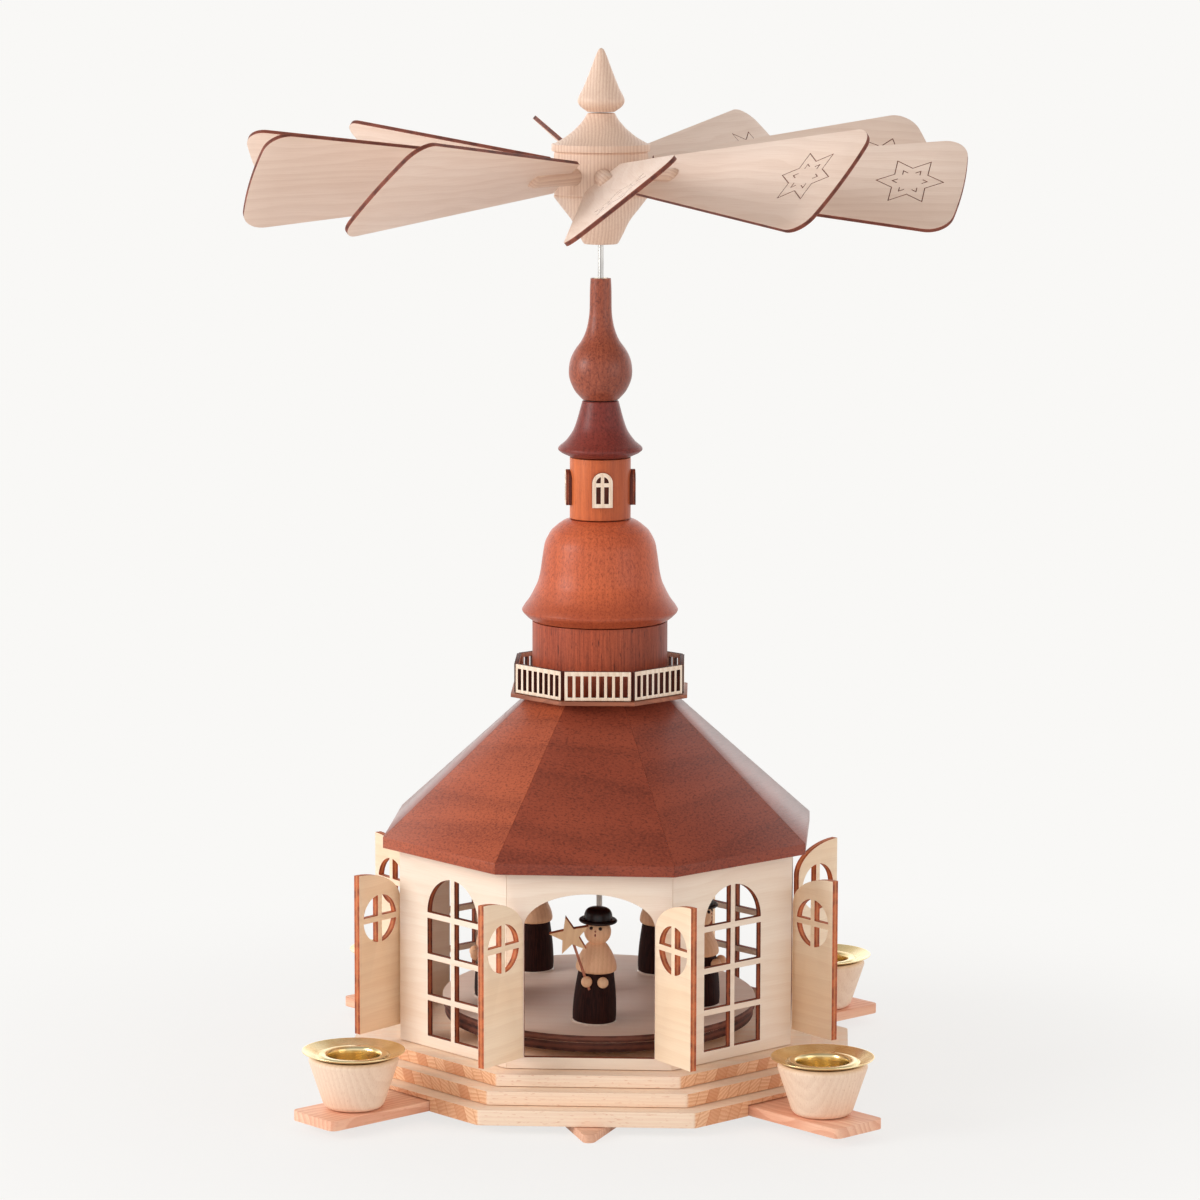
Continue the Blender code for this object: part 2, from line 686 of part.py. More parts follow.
def railing_ring():
    """The balustrade seen from above: panels whose ends meet only at the inner corners."""
    outer = GALLERY_APOTHEM - RAILING_INSET
    inner = outer - RAILING_THICKNESS
    half = railing_panel_half()
    notch = (inner + RAILING_CORNER_NECK) / math.cos(math.pi / OCTAGON)
    outline = []
    for k in range(OCTAGON):
        angle = facing(k)
        out = Vector((math.cos(angle), math.sin(angle)))
        across = Vector((-math.sin(angle), math.cos(angle)))
        outline += [tuple(out * outer + across * side * half) for side in (-1, 1)]
        turn = angle + math.pi / OCTAGON
        outline.append((notch * math.cos(turn), notch * math.sin(turn)))
    return outline, regular_polygon(OCTAGON, inner)


def railing_gap_cutter(low, high, woods):
    """One block for each gap between balusters, all round the balustrade."""
    first = END_POST - railing_panel_half()
    clear = -2.0 * first - BALUSTER_COUNT * BALUSTER
    gap = clear / (BALUSTER_COUNT + 1)
    middle = GALLERY_APOTHEM - RAILING_INSET - RAILING_THICKNESS / 2.0
    size = Matrix.Diagonal((2.0 * RAILING_THICKNESS, gap, high - low, 1.0))
    bm = bmesh.new()
    for k in range(OCTAGON):
        turn = Matrix.Rotation(facing(k), 4, "Z")
        for n in range(BALUSTER_COUNT + 1):
            across = first + gap / 2.0 + n * (gap + BALUSTER)
            spot = Matrix.Translation((middle, across, (low + high) / 2.0))
            bmesh.ops.create_cube(bm, size=1.0, matrix=turn @ spot @ size)
    return add_object("gaps", bm, woods["maple"])


def make_gallery(foot, woods):
    """The gallery plate and its balustrade. Returns the height of the plate's top."""
    top = foot + GALLERY_THICKNESS
    passage = circle(TOWER_PASSAGE, SMALL_SIDES)
    octagon = regular_polygon(OCTAGON, GALLERY_APOTHEM)
    plate = add_object("gallery_plate", slab_bmesh(octagon, foot, top, [passage]), woods["gallery"])
    rail_foot = top + GLUE_LINE
    rail_top = rail_foot + RAILING_HEIGHT
    outline, hole = railing_ring()
    railing = add_object("balustrade", slab_bmesh(outline, rail_foot, rail_top, [hole]), woods["maple"])
    combine(railing, railing_gap_cutter(rail_foot + BOTTOM_RAIL, rail_top - TOP_RAIL, woods), "DIFFERENCE")
    for piece in (plate, railing):
        piece.rotation_euler.z = math.radians(GALLERY_TURN)
    return top


def scaled_points(shape, radius, foot, height):
    """Profile points from how far each stands out past a radius and its share of a height."""
    return [(radius + out, foot + share * height) for out, share in shape]


def bell_profile(foot):
    """The bell-shaped roof of the tower, from its underside to its flat top."""
    lip = scaled_points(BELL_LIP, UPPER_DRUM_RADIUS, foot, BELL_HEIGHT)
    side = scaled_points(BELL_SIDE, UPPER_DRUM_RADIUS, foot, BELL_HEIGHT)
    return [(LOWER_DRUM_RADIUS, foot), *lip, *curve_through(side)]


def lantern_roof_profile(foot):
    """The small flaring roof over the upper drum."""
    lip = scaled_points([LANTERN_ROOF_LIP], UPPER_DRUM_RADIUS, foot, LANTERN_ROOF_HEIGHT)
    side = scaled_points(LANTERN_ROOF_SIDE, UPPER_DRUM_RADIUS, foot, LANTERN_ROOF_HEIGHT)
    return [(UPPER_DRUM_RADIUS, foot), *lip, *curve_through(side)]


def spire_profile(foot):
    """The onion and the slim neck of the spire."""
    return curve_through(scaled_points(SPIRE_SIDE, SPIRE_TIP_RADIUS, foot, SPIRE_HEIGHT))


def tower_piece(name, outside, wood):
    """A turned piece of the tower with the shaft's passage through it."""
    return turned(name, bored(outside, TOWER_PASSAGE), TOWER_SIDES, wood, closed=True)


def make_tower(foot, woods):
    """The tower's turned pieces, stacked from the gallery up. Returns the spire's top height."""
    level = foot
    drum = [(LOWER_DRUM_RADIUS, level), (LOWER_DRUM_RADIUS, level + LOWER_DRUM_HEIGHT)]
    tower_piece("lower_drum", drum, woods["mahogany"])
    level += LOWER_DRUM_HEIGHT + GLUE_LINE
    tower_piece("bell_dome", bell_profile(level), woods["mahogany"])
    level += BELL_HEIGHT + GLUE_LINE
    drum = [(UPPER_DRUM_RADIUS, level), (UPPER_DRUM_RADIUS, level + UPPER_DRUM_HEIGHT)]
    tower_piece("upper_drum", drum, woods["padauk"])
    level += UPPER_DRUM_HEIGHT + GLUE_LINE
    tower_piece("lantern_roof", lantern_roof_profile(level), woods["mahogany"])
    level += LANTERN_ROOF_HEIGHT + GLUE_LINE
    top = level + SPIRE_HEIGHT
    bush_radius = SHAFT_RADIUS + BUSH_WALL
    counterbore = bush_radius + SEAT
    ledge = top - BUSH_LENGTH - SEAT
    outside = spire_profile(level)
    inside = [(counterbore, top), (counterbore, ledge), (TOWER_PASSAGE, ledge), (TOWER_PASSAGE, level)]
    turned("spire", [*outside, *inside], TOWER_SIDES, woods["mahogany"], closed=True)
    bush = bored([(bush_radius, top - BUSH_LENGTH), (bush_radius, top)], running_bore(SHAFT_RADIUS))
    turned("upper_bush", bush, SMALL_SIDES, woods["brass"], closed=True)
    return top


def make_lower_bearing(foot, woods):
    """The brass cup in the base for the shaft's point. Returns its well's floor and its top."""
    top = foot + BEARING_HEIGHT
    floor = top - BEARING_WELL_DEPTH
    profile = [(0.0, foot), (BEARING_RADIUS, foot), (BEARING_RADIUS, top), (BEARING_WELL_RADIUS, top)]
    profile += [(BEARING_WELL_RADIUS, floor), (0.0, floor)]
    turned("lower_bearing", profile, SMALL_SIDES, woods["brass"])
    return floor, top


def make_shaft(well_floor, top, rotor, woods):
    """The steel shaft, pointed at its foot."""
    foot = well_floor + SEAT
    profile = [(0.0, foot), (SHAFT_RADIUS, foot + SHAFT_POINT), (SHAFT_RADIUS, top), (0.0, top)]
    turned("shaft", profile, SMALL_SIDES, woods["steel"], rotor)


def lean(thing, height):
    """Lean a piece with the turntable, about the point of the shaft at the disc's top."""
    across = math.radians(DISC_LEAN_TOWARDS + 90.0)
    axis = Vector((math.cos(across), math.sin(across), 0.0))
    pivot = Matrix.Translation((0.0, 0.0, height))
    turn = Matrix.Rotation(math.radians(DISC_LEAN), 4, axis)
    thing.matrix_basis = pivot @ turn @ pivot.inverted() @ thing.matrix_basis
    return thing


def make_turntable(foot, rotor, woods):
    """The disc that carries the figures and the disc under it. Returns the upper disc's top."""
    bottom = foot + BACKING_THICKNESS + GLUE_LINE
    top = bottom + DISC_THICKNESS
    askew = (top - foot) * math.sin(math.radians(DISC_LEAN))
    bore = circle(SHAFT_RADIUS + SEAT + askew, SMALL_SIDES)
    radius = WALL_APOTHEM - PLYWOOD - DISC_CLEARANCE
    backing = slab_bmesh(circle(radius - BACKING_INSET, DISC_SIDES), foot, foot + BACKING_THICKNESS, [bore])
    lean(smooth(add_object("turntable_backing_disc", backing, woods["brown_ply"], rotor)), top)
    disc = slab_bmesh(circle(radius, DISC_SIDES), bottom, top, [bore])
    lean(smooth(add_object("turntable", disc, woods["disc_maple"], rotor)), top)
    return top


def figure_profile():
    """A turned carol singer: long skirt, cape, head and a round hat with a brim."""
    crown = HAT_BRIM + HAT_BRIM_THICKNESS
    skirt = [(0.0, 0.0), (SKIRT_FOOT_RADIUS, 0.0), (SKIRT_TOP_RADIUS, CAPE_HEM)]
    cape = [(CAPE_HEM_RADIUS, CAPE_HEM + SEAT), (SHOULDER_RADIUS, SHOULDER), (NECK_RADIUS, NECK)]
    chin = math.degrees(math.acos(NECK_RADIUS / HEAD_RADIUS))
    centre = NECK + HEAD_RADIUS * math.sin(math.radians(chin))
    head = arc((0.0, centre), HEAD_RADIUS, -chin, HEAD_SHOWN, HEAD_STEPS)[1:]
    brim = [(HAT_RADIUS, HAT_BRIM), (HAT_BRIM_RADIUS, HAT_BRIM), (HAT_BRIM_RADIUS, crown)]
    return [*skirt, *cape, *head, *brim, (HAT_RADIUS, crown), (HAT_RADIUS, HAT_TOP), (0.0, HAT_TOP)]


def rod(name, start, end, radius, sides, material):
    """A round rod between two points."""
    way = Vector(end) - Vector(start)
    bm = turned_bmesh([(0.0, 0.0), (radius, 0.0), (radius, way.length), (0.0, way.length)], sides)
    turn = way.to_track_quat("Z", "Y").to_matrix().to_4x4()
    bmesh.ops.transform(bm, verts=bm.verts, matrix=Matrix.Translation(start) @ turn)
    return add_object(name, bm, material)


def ball(name, centre, radius, material):
    """A small round ball."""
    bm = bmesh.new()
    bmesh.ops.create_icosphere(bm, subdivisions=1, radius=radius)
    bmesh.ops.translate(bm, verts=bm.verts, vec=centre)
    return add_object(name, bm, material)


def make_star(material):
    """The flat star that the front figure carries, drawn in X and Z."""
    outline = []
    for corner in range(2 * STAR_POINTS):
        radius = STAR_NOTCH_RADIUS if corner % 2 else STAR_RADIUS
        angle = math.radians(STAR_TURN + 180.0 * corner / STAR_POINTS)
        outline.append((STAR_ACROSS + radius * math.cos(angle), STAR_HEIGHT + radius * math.sin(angle)))
    bm = upright_bmesh(outline, STAR_THICKNESS)
    bmesh.ops.translate(bm, verts=bm.verts, vec=(0.0, -HAND_OUT - STAR_THICKNESS / 2.0, 0.0))
    return add_object("star", bm, material)


def make_figure(index, disc_top, rotor, woods):
    """One carol singer facing away from the shaft. The first one carries a star on a stick."""
    name = "figure_star_bearer" if index == 0 else "figure_singer_{}".format(index)
    wood = woods["figure_wood"]
    figure = add_object(name, turned_bmesh(figure_profile(), FIGURE_SIDES), wood, rotor)
    for side in (-1, 1):
        shoulder = (side * SHOULDER_RADIUS, 0.0, SHOULDER - SLEEVE_DROP)
        hand = (side * HAND_SPREAD, -HAND_OUT, HAND_HEIGHT)
        combine(figure, rod("arm", shoulder, hand, ARM_RADIUS, SLEEVE_SIDES, wood), "UNION")
        combine(figure, ball("hand", hand, HAND_RADIUS, wood), "UNION")
    if index == 0:
        low = (-HAND_SPREAD, -HAND_OUT, HAND_HEIGHT - 2.0 * HAND_RADIUS)
        high = (STAR_ACROSS, -HAND_OUT, STAR_HEIGHT)
        combine(figure, rod("stick", low, high, STICK_RADIUS, STICK_SIDES, wood), "UNION")
        combine(figure, make_star(wood), "UNION")
    turn, distance = FIGURE_PLACES[index]
    angle = facing(index, len(FIGURE_PLACES)) + math.radians(turn)
    return lean(place(smooth(figure), angle, distance, disc_top + GLUE_LINE), disc_top)


def hub_profile(foot):
    """The hub: a flared foot, a round body, a flange and a hollow-sided cone."""
    body = foot + HUB_FOOT_HEIGHT
    flange = body + HUB_BODY_HEIGHT
    cone = flange + FLANGE_HEIGHT
    flare = curve_through([
        (HUB_FOOT_RADIUS, foot),
        (HUB_FOOT_RADIUS + HUB_FLARE, foot + HUB_FOOT_HEIGHT / 2.0),
        (HUB_RADIUS, body),
    ], HUB_CURVE_STEPS)
    top = curve_through([
        (HUB_RADIUS, cone),
        (HUB_CONE_RADIUS, cone + HUB_CONE_WAIST * HUB_CONE_HEIGHT),
        (HUB_NECK_RADIUS, cone + HUB_CONE_HEIGHT),
    ], HUB_CURVE_STEPS)
    band = [(HUB_RADIUS, flange), (FLANGE_RADIUS, flange + GLUE_LINE), (FLANGE_RADIUS, cone)]
    return [*flare, *band, *top]


def blade_directions():
    """For each blade the turn about Z, the pitch and the rise of its peg, in radians."""
    spacing = 360.0 / len(BLADE_SETTINGS)
    directions = []
    for k, (turn, pitch, rise) in enumerate(BLADE_SETTINGS):
        angles = (BLADE_FIRST + k * spacing + turn, pitch, rise)
        directions.append(tuple(math.radians(angle) for angle in angles))
    return directions


def along_peg(bm):
    """Lay a piece that was turned about Z along X."""
    bmesh.ops.rotate(bm, verts=bm.verts, matrix=Matrix.Rotation(math.radians(90.0), 3, "Y"))
    return bm


def point_outwards(thing, height, turn, pitch, rise):
    """Point an object's X axis out of the hub along a peg."""
    thing.location = (0.0, 0.0, height)
    thing.rotation_euler = (pitch, -rise, turn)
    return thing


def make_hub(foot, rotor, woods):
    """The hub, bored from below for the shaft and all round for the pegs. Returns its top."""
    top = foot + HUB_FOOT_HEIGHT + HUB_BODY_HEIGHT + FLANGE_HEIGHT + HUB_CONE_HEIGHT
    bore = SHAFT_RADIUS + SEAT
    bore_top = foot + SHAFT_GRIP + SEAT
    profile = [(bore, foot), *hub_profile(foot), (0.0, top), (0.0, bore_top), (bore, bore_top)]
    hub = add_object("hub", turned_bmesh(profile, TOWER_SIDES, closed=True), woods["beech"])
    hole_radius = running_bore(PEG_RADIUS)
    hole_start = PEG_INNER - SEAT
    hole_profile = [(0.0, hole_start), (hole_radius, hole_start)]
    hole_profile += [(hole_radius, BLADE_ROOT), (0.0, BLADE_ROOT)]
    for direction in blade_directions():
        cutter = along_peg(turned_bmesh(hole_profile, SMALL_SIDES))
        cutter = add_object("peg_hole", cutter, woods["beech"])
        combine(hub, point_outwards(cutter, foot + PEG_ABOVE_FOOT, *direction), "DIFFERENCE")
    smooth(hub).parent = rotor
    return top


def make_finial(foot, rotor, woods):
    """The pear-shaped finial with its slim point."""
    top = foot + FINIAL_HEIGHT
    side = curve_through([
        (HUB_NECK_RADIUS, foot),
        (FINIAL_RADIUS, foot + FINIAL_BULGE * FINIAL_HEIGHT),
        (FINIAL_WAIST_RADIUS, foot + FINIAL_WAIST * FINIAL_HEIGHT),
        (FINIAL_TIP_RADIUS, top - FINIAL_TIP_RADIUS / 2.0),
    ], HUB_CURVE_STEPS)
    turned("finial", [(0.0, foot), *side, (0.0, top)], TOWER_SIDES, woods["beech"], rotor)


def blade_outline():
    """A fan with straight sides, an outer edge curved about the shaft and two rounded corners."""
    slope = (BLADE_WIDTH - BLADE_ROOT_WIDTH) / 2.0 / (BLADE_REACH - BLADE_ROOT)
    lean = math.atan(slope)
    outer = BLADE_REACH - BLADE_CORNER
    offset = BLADE_WIDTH / 2.0
    for _ in range(BLADE_FIT_ROUNDS):
        along = math.sqrt(outer * outer - offset * offset)
        side = BLADE_ROOT_WIDTH / 2.0 + slope * (along - BLADE_ROOT)
        offset = side - BLADE_CORNER / math.cos(lean)
    swing = math.degrees(math.atan2(offset, along))
    side_direction = math.degrees(lean) - 90.0
    corner = arc((along, -offset), BLADE_CORNER, -side_direction - 180.0, -swing, ARC_STEPS)
    rim = arc((0.0, 0.0), BLADE_REACH, -swing, swing, ARC_STEPS * 2)[1:-1]
    far_corner = [(x, -y) for x, y in reversed(corner)]
    root = [(BLADE_ROOT, BLADE_ROOT_WIDTH / 2.0), (BLADE_ROOT, -BLADE_ROOT_WIDTH / 2.0)]
    return [*root, *corner, *rim, *far_corner]


def make_blades(peg_height, rotor, woods):
    """Ten fan blades, each with the peg that turns stiffly in the hub."""
    half = BLADE_THICKNESS / 2.0
    shoulder = (PEG_SHOULDER * PEG_RADIUS, PEG_OUTER - (1.0 - PEG_SHOULDER) * PEG_DOME)
    dome = [(PEG_RADIUS, PEG_OUTER - PEG_DOME), shoulder, (0.0, PEG_OUTER)]
    peg_profile = [(0.0, PEG_INNER), (PEG_RADIUS, PEG_INNER), *dome]
    for number, direction in enumerate(blade_directions(), 1):
        name = "blade_{:02d}".format(number)
        blade = add_object(name, slab_bmesh(blade_outline(), -half, half), woods["maple"])
        peg = along_peg(turned_bmesh(peg_profile, SMALL_SIDES))
        combine(blade, add_object("peg", peg, woods["beech"]), "UNION")
        point_outwards(smooth(blade), peg_height, *direction).parent = rotor


def make_woods():
    """The materials, most of them woods, by name."""
    return {
        "beech": make_material("beech", (0.72, 0.47, 0.29), 0.55),
        "shaded_beech": make_material("shaded_beech", (0.66, 0.41, 0.26), 0.55),
        "cup_beech": make_material("cup_beech", (0.80, 0.60, 0.42), 0.55),
        "arm_beech": make_material("arm_beech", (0.70, 0.36, 0.22), 0.55),
        "maple": make_material("maple", (0.85, 0.70, 0.52), 0.55),
        "disc_maple": make_material("disc_maple", (0.70, 0.50, 0.38), 0.55),
        "gallery": make_material("gallery", (0.52, 0.25, 0.13), 0.5),
        "figure_wood": make_material("figure_wood", (0.35, 0.22, 0.15), 0.6),
        "mahogany": make_material("mahogany", (0.24, 0.07, 0.035), 0.45),
        "padauk": make_material("padauk", (0.45, 0.15, 0.06), 0.45),
        "brown_ply": make_material("brown_ply", (0.30, 0.12, 0.07), 0.5),
        "brass": make_material("brass", (0.78, 0.60, 0.28), 0.25, 1.0),
        "steel": make_material("steel", (0.60, 0.60, 0.60), 0.3, 1.0),
    }


def build():
    """Make every piece of the pyramid, the standing ones from the table up and then the rotor."""
    clear_scene()
    woods = make_woods()
    upper_board_foot, upper_board_top = board_levels()[-1]
    house_foot = upper_board_top + SEAT
    make_arms(make_base(woods), woods)
    make_candle_holders(woods)
    make_house(house_foot, woods)
    make_doors(house_foot, woods)
    roof_top = make_roof(house_foot + WALL_HEIGHT + SEAT, woods)
    gallery_top = make_gallery(roof_top + SEAT, woods)
    spire_top = make_tower(gallery_top + GLUE_LINE, woods)
    well_floor, bearing_top = make_lower_bearing(upper_board_foot, woods)

    rotor = bpy.data.objects.new("rotor", None)
    bpy.context.scene.collection.objects.link(rotor)
    hub_foot = spire_top + HUB_CLEARANCE
    make_shaft(well_floor, hub_foot + SHAFT_GRIP, rotor, woods)
    disc_top = make_turntable(bearing_top + DISC_LIFT, rotor, woods)
    for index in range(len(FIGURE_PLACES)):
        make_figure(index, disc_top, rotor, woods)
    hub_top = make_hub(hub_foot, rotor, woods)
    make_finial(hub_top + GLUE_LINE, rotor, woods)
    make_blades(hub_foot + PEG_ABOVE_FOOT, rotor, woods)


build()
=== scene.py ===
"""Looks of the Christmas pyramid: finer pieces around the frame, woods, metals, light and camera.

Every piece stands for a solid of the frame, keeps its place and rides on its body.
Sizes are in metres. The woods are drawn in millimetres, in coordinates that run along the grain.
"""
import random
from functools import cached_property
from math import acos, asin, atan, atan2, copysign, cos, degrees, pi, radians, sin, sqrt, tan

import bmesh
import bpy
from mathutils import Matrix, Vector


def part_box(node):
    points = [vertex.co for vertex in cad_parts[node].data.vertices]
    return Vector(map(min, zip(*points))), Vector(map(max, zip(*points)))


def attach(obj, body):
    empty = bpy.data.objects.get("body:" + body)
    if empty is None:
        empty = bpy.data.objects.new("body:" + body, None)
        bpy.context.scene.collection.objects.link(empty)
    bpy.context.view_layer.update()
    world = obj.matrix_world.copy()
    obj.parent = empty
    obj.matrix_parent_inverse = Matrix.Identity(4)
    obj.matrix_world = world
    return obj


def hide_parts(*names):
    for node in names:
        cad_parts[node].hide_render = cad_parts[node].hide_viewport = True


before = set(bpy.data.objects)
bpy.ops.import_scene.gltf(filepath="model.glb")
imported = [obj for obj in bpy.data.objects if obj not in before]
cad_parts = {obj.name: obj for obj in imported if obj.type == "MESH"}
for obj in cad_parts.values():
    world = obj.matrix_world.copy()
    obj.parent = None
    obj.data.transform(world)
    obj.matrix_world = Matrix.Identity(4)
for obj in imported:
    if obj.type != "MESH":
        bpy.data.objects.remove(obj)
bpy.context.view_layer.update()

MM = 0.001
MARGIN = 0.02 * MM

# Fineness
FINE_SIDES = 96
SMALL_SIDES = 40
CURVE_STEPS = 5
ARC_STEPS = 12
ARCH_STEPS = 48
SHARP_ANGLE = 28.0
EASED_CORNER = 18.0

OCTAGON = 8
SIDES = ("front", "right", "back", "left")
CORNERS = ("front_right", "back_right", "back_left", "front_left")

# Base and arms
PLATE_REACH = (96.1 * MM, 92.5 * MM)
PLATE_POINT_ANGLE = 37.0
PLATE_POINT_RADIUS = 2.2 * MM
PLATE_TURN = 0.8
BOARD_APOTHEMS = (86.7 * MM, 80.5 * MM, 74.1 * MM)
BOARD_CORNER = 2.5 * MM
ARM_REACH = 128.1 * MM
ARM_WIDTH = 21.9 * MM
ARM_CORNER = 2.5 * MM
ARM_ANGLES = (45.0, -45.0)
ARM_SLOT_GAP = 0.4 * MM
LAP_GAP = 0.3 * MM
LAP_SPARE = 4.0 * MM
BEARING_HOLE = 4.3 * MM

# Candle cups and pans
CUP_PLACE = 110.1 * MM
CUP_TOP_RADIUS = 15.15 * MM
CUP_FOOT_RADIUS = 10.2 * MM
CUP_EDGE = 1.2 * MM
CUP_DISH = 0.7 * MM
CUP_FLOOR = 5.6 * MM
CUP_BORE = 9.5 * MM
CANDLE_HOLE_RADIUS = 8.7 * MM
PAN_SHEET = 0.4 * MM
PAN_RING_RADIUS = 11.7 * MM
PAN_RING_HEIGHT = 0.75 * MM
# The pan's mouth, as points out from its bore and down from its crest in millimetres
PAN_MOUTH = ((1.1, 0.1), (0.5, 0.35), (0.15, 1.0), (0.0, 2.2))

# Walls and door leaves, with heights above the walls' feet
WALL_APOTHEM = 66.9 * MM
PLYWOOD = 2.2 * MM
CUT_EDGE = 0.1 * MM
SILL_HEIGHT = 3.9 * MM
OPENING_HEIGHT = 55.7 * MM
DOORWAY_HALF_WIDTH = 21.8 * MM
DOORWAY_RISE = 11.2 * MM
WINDOW_HALF_WIDTH = 13.1 * MM
WINDOW_RISE = 12.8 * MM
WINDOW_BAR = 2.0 * MM
WINDOW_ROWS = 3
LEAF_GAP = 0.4 * MM
LEAF_WIDTH = 20.7 * MM
LEAF_THICKNESS = 2.4 * MM
LEAF_WIDEST = 145.0
LEAF_CLEARANCE = 0.15 * MM
LEAF_SET_OUT = 0.2 * MM
LEAF_WINDOW_RADIUS = 8.2 * MM
LEAF_WINDOW_HEIGHT = 38.8 * MM
# How far the right and the left leaf of each side stand open, from the front round, in degrees
LEAF_ANGLES = ((126.5, 125.0), (139.5, 139.0), (135.0, 135.0), (143.0, 142.0))

# Roof and gallery
ROOF_TURN = -1.1
EAVE_APOTHEM = 72.0 * MM
EAVE_DEPTH = 3.7 * MM
ROOF_TOP_APOTHEM = 23.7 * MM
ROOF_WALL = 10.0 * MM
GALLERY_TURN = 1.4
GALLERY_APOTHEM = 30.2 * MM
RAILING_APOTHEM = 29.05 * MM
RAILING_THICKNESS = 1.5 * MM
RAILING_HALF_WIDTH = 11.25 * MM
BOTTOM_RAIL = 1.1 * MM
TOP_RAIL = 1.5 * MM
BALUSTER_COUNT = 7
BALUSTER = 1.0 * MM
END_POST = 1.05 * MM
TOWER_PASSAGE = 1.7 * MM

# Turned sides of the tower, as radius and height above the piece's foot in millimetres
BELL_LIP = ((23.3, 0.0), (25.0, 1.2), (26.5, 2.7), (26.9, 3.6))
BELL_SIDE = (
    (25.9, 5.2), (24.2, 7.5), (22.55, 10.6), (21.3, 13.4), (20.5, 16.8), (20.0, 20.3),
    (19.5, 23.7), (18.8, 27.1), (17.0, 30.5), (15.65, 31.9), (13.1, 33.9), (11.0, 34.85),
)
LANTERN_ROOF_LIP = ((10.5, 0.0),)
LANTERN_ROOF_SIDE = (
    (13.3, 1.3), (14.4, 2.3), (14.1, 3.4), (11.8, 5.4), (9.4, 8.8), (8.1, 12.2), (7.1, 15.7), (6.2, 19.1),
)
SPIRE_SIDE = (
    (6.1, 0.0), (6.8, 0.7), (8.85, 3.1), (10.4, 6.5), (10.85, 9.6), (10.4, 13.4), (8.9, 16.8),
    (6.5, 20.2), (5.0, 23.6), (4.2, 27.0), (3.8, 30.5), (3.7, 37.3), (3.5, 41.4),
)
HUB_FLARE = ((5.5, 0.1), (6.15, 0.7), (7.85, 4.0), (9.9, 8.1), (13.3, 12.5), (16.0, 16.0))
HUB_CONE = ((16.0, 34.0), (12.2, 36.2), (8.85, 38.9), (6.1, 41.9), (4.6, 44.4))
HUB_BODY = 16.0
HUB_GROOVES = (16.9, 31.2)
GROOVE_DEPTH = 0.25
GROOVE_HALF_WIDTH = 0.3
FLANGE = (16.8, 31.6, 34.0)
FINIAL_SIDE = (
    (4.6, 0.0), (7.14, 1.9), (7.93, 4.2), (6.12, 8.0), (4.09, 13.0), (2.06, 18.4), (1.05, 20.7), (0.5, 21.3),
)

# Windows on the upper drum
TOWER_WINDOWS = 4
TOWER_WINDOW_TURN = -83.5
TOWER_WINDOW_LIFT = 4.75 * MM
TOWER_WINDOW_SIZE = (7.0 * MM, 12.0 * MM)
TOWER_WINDOW_OUT = 11.95 * MM
TOWER_WINDOW_FRAME = 1.36 * MM
TOWER_WINDOW_BAR = 1.2 * MM
TOWER_WINDOW_CROSSBAR = 1.4 * MM
TOWER_WINDOW_THICKNESS = (0.9 * MM, 1.1 * MM)

# Bearings and bores
SPIRE_BORE = 2.6 * MM
BUSH_RADIUS = 2.3 * MM
BUSH_BORE = 1.06 * MM
BEARING_RADIUS = 4.0 * MM
BEARING_BORE = 1.5 * MM
BEARING_DEPTH = 3.9 * MM
SHAFT_RADIUS = 1.0 * MM
SHAFT_POINT = 2.0 * MM
HUB_BORE = 1.3 * MM
HUB_BORE_DEPTH = 14.6 * MM

# Turntable, which sits slightly askew on the shaft and is lowest towards the given direction
DISC_TOP = 28.0 * MM
DISC_RADIUS = 54.4 * MM
DISC_THICKNESS = 2.4 * MM
BACKING_RADIUS = 53.6 * MM
BACKING_THICKNESS = 3.2 * MM
GLUE_LINE = 0.3 * MM
DISC_BORE = 1.52 * MM
DISC_LEAN = 2.1
DISC_LEAN_TOWARDS = -76.0

# Figures, with heights in millimetres above their own feet
# Each has its turn in degrees from an even spacing and its distance from the shaft.
FIGURE_PLACES = ((0.0, 34.5 * MM), (2.5, 36.0 * MM), (5.0, 38.0 * MM), (2.0, 41.0 * MM), (-10.0, 36.0 * MM))
FIGURE_LEAN = 1.7
FIGURE_SIDES = 64
SKIRT_SIDE = ((7.3, 0.0), (7.45, 3.0), (7.2, 8.0), (6.7, 12.5), (6.0, 17.4))
CAPE_SIDE = (
    (6.2, 17.35), (6.8, 17.8), (6.95, 18.8), (6.6, 20.6), (5.9, 22.4), (4.9, 24.4), (3.7, 26.2), (2.7, 27.2),
)
HEAD_RADIUS = 4.6
HEAD_CENTRE = 30.9
HEAD_TURN = -7.5
HAT_BRIM = (6.65, 34.2, 35.4)
HAT_CROWN = ((4.8, 35.4), (4.75, 36.8), (4.2, 38.2), (2.9, 39.1), (0.0, 39.4))
HAND_RADIUS = 1.9
HAND_PLACE = (2.75, -7.2, 14.9)
EYE_TURN = 22.0
EYE_LIFT = 24.0
EYE_RADIUS = 0.6
NOSE_LIFT = 12.0
NOSE_RADIUS = 0.35
MOUTH_LIFT = -4.0
MOUTH_RADIUS = 0.42
STICK_RADIUS = 0.45
STICK_FOOT = 12.2
STAR_CENTRE = (-8.9, 30.8)
STAR_OUT = -8.6
STAR_LEAN = 10.0
STAR_RADIUS = 7.2
STAR_NOTCH_RADIUS = 3.0
STAR_TURN = 104.7
STAR_THICKNESS = 2.0
# Points of the glue bead, out from the skirt's foot and above it
GLUE_BEAD = ((-0.6, -0.28), (0.45, -0.28), (0.1, 0.25), (-0.6, 0.2))

# Blades: turn about the shaft, pitch about the peg and rise of the peg, in degrees
PEG_HEIGHT = 312.2 * MM
PEG_RADIUS = 3.0 * MM
PEG_INNER = 11.8 * MM
PEG_OUTER = 41.5 * MM
PEG_GAP = 0.06 * MM
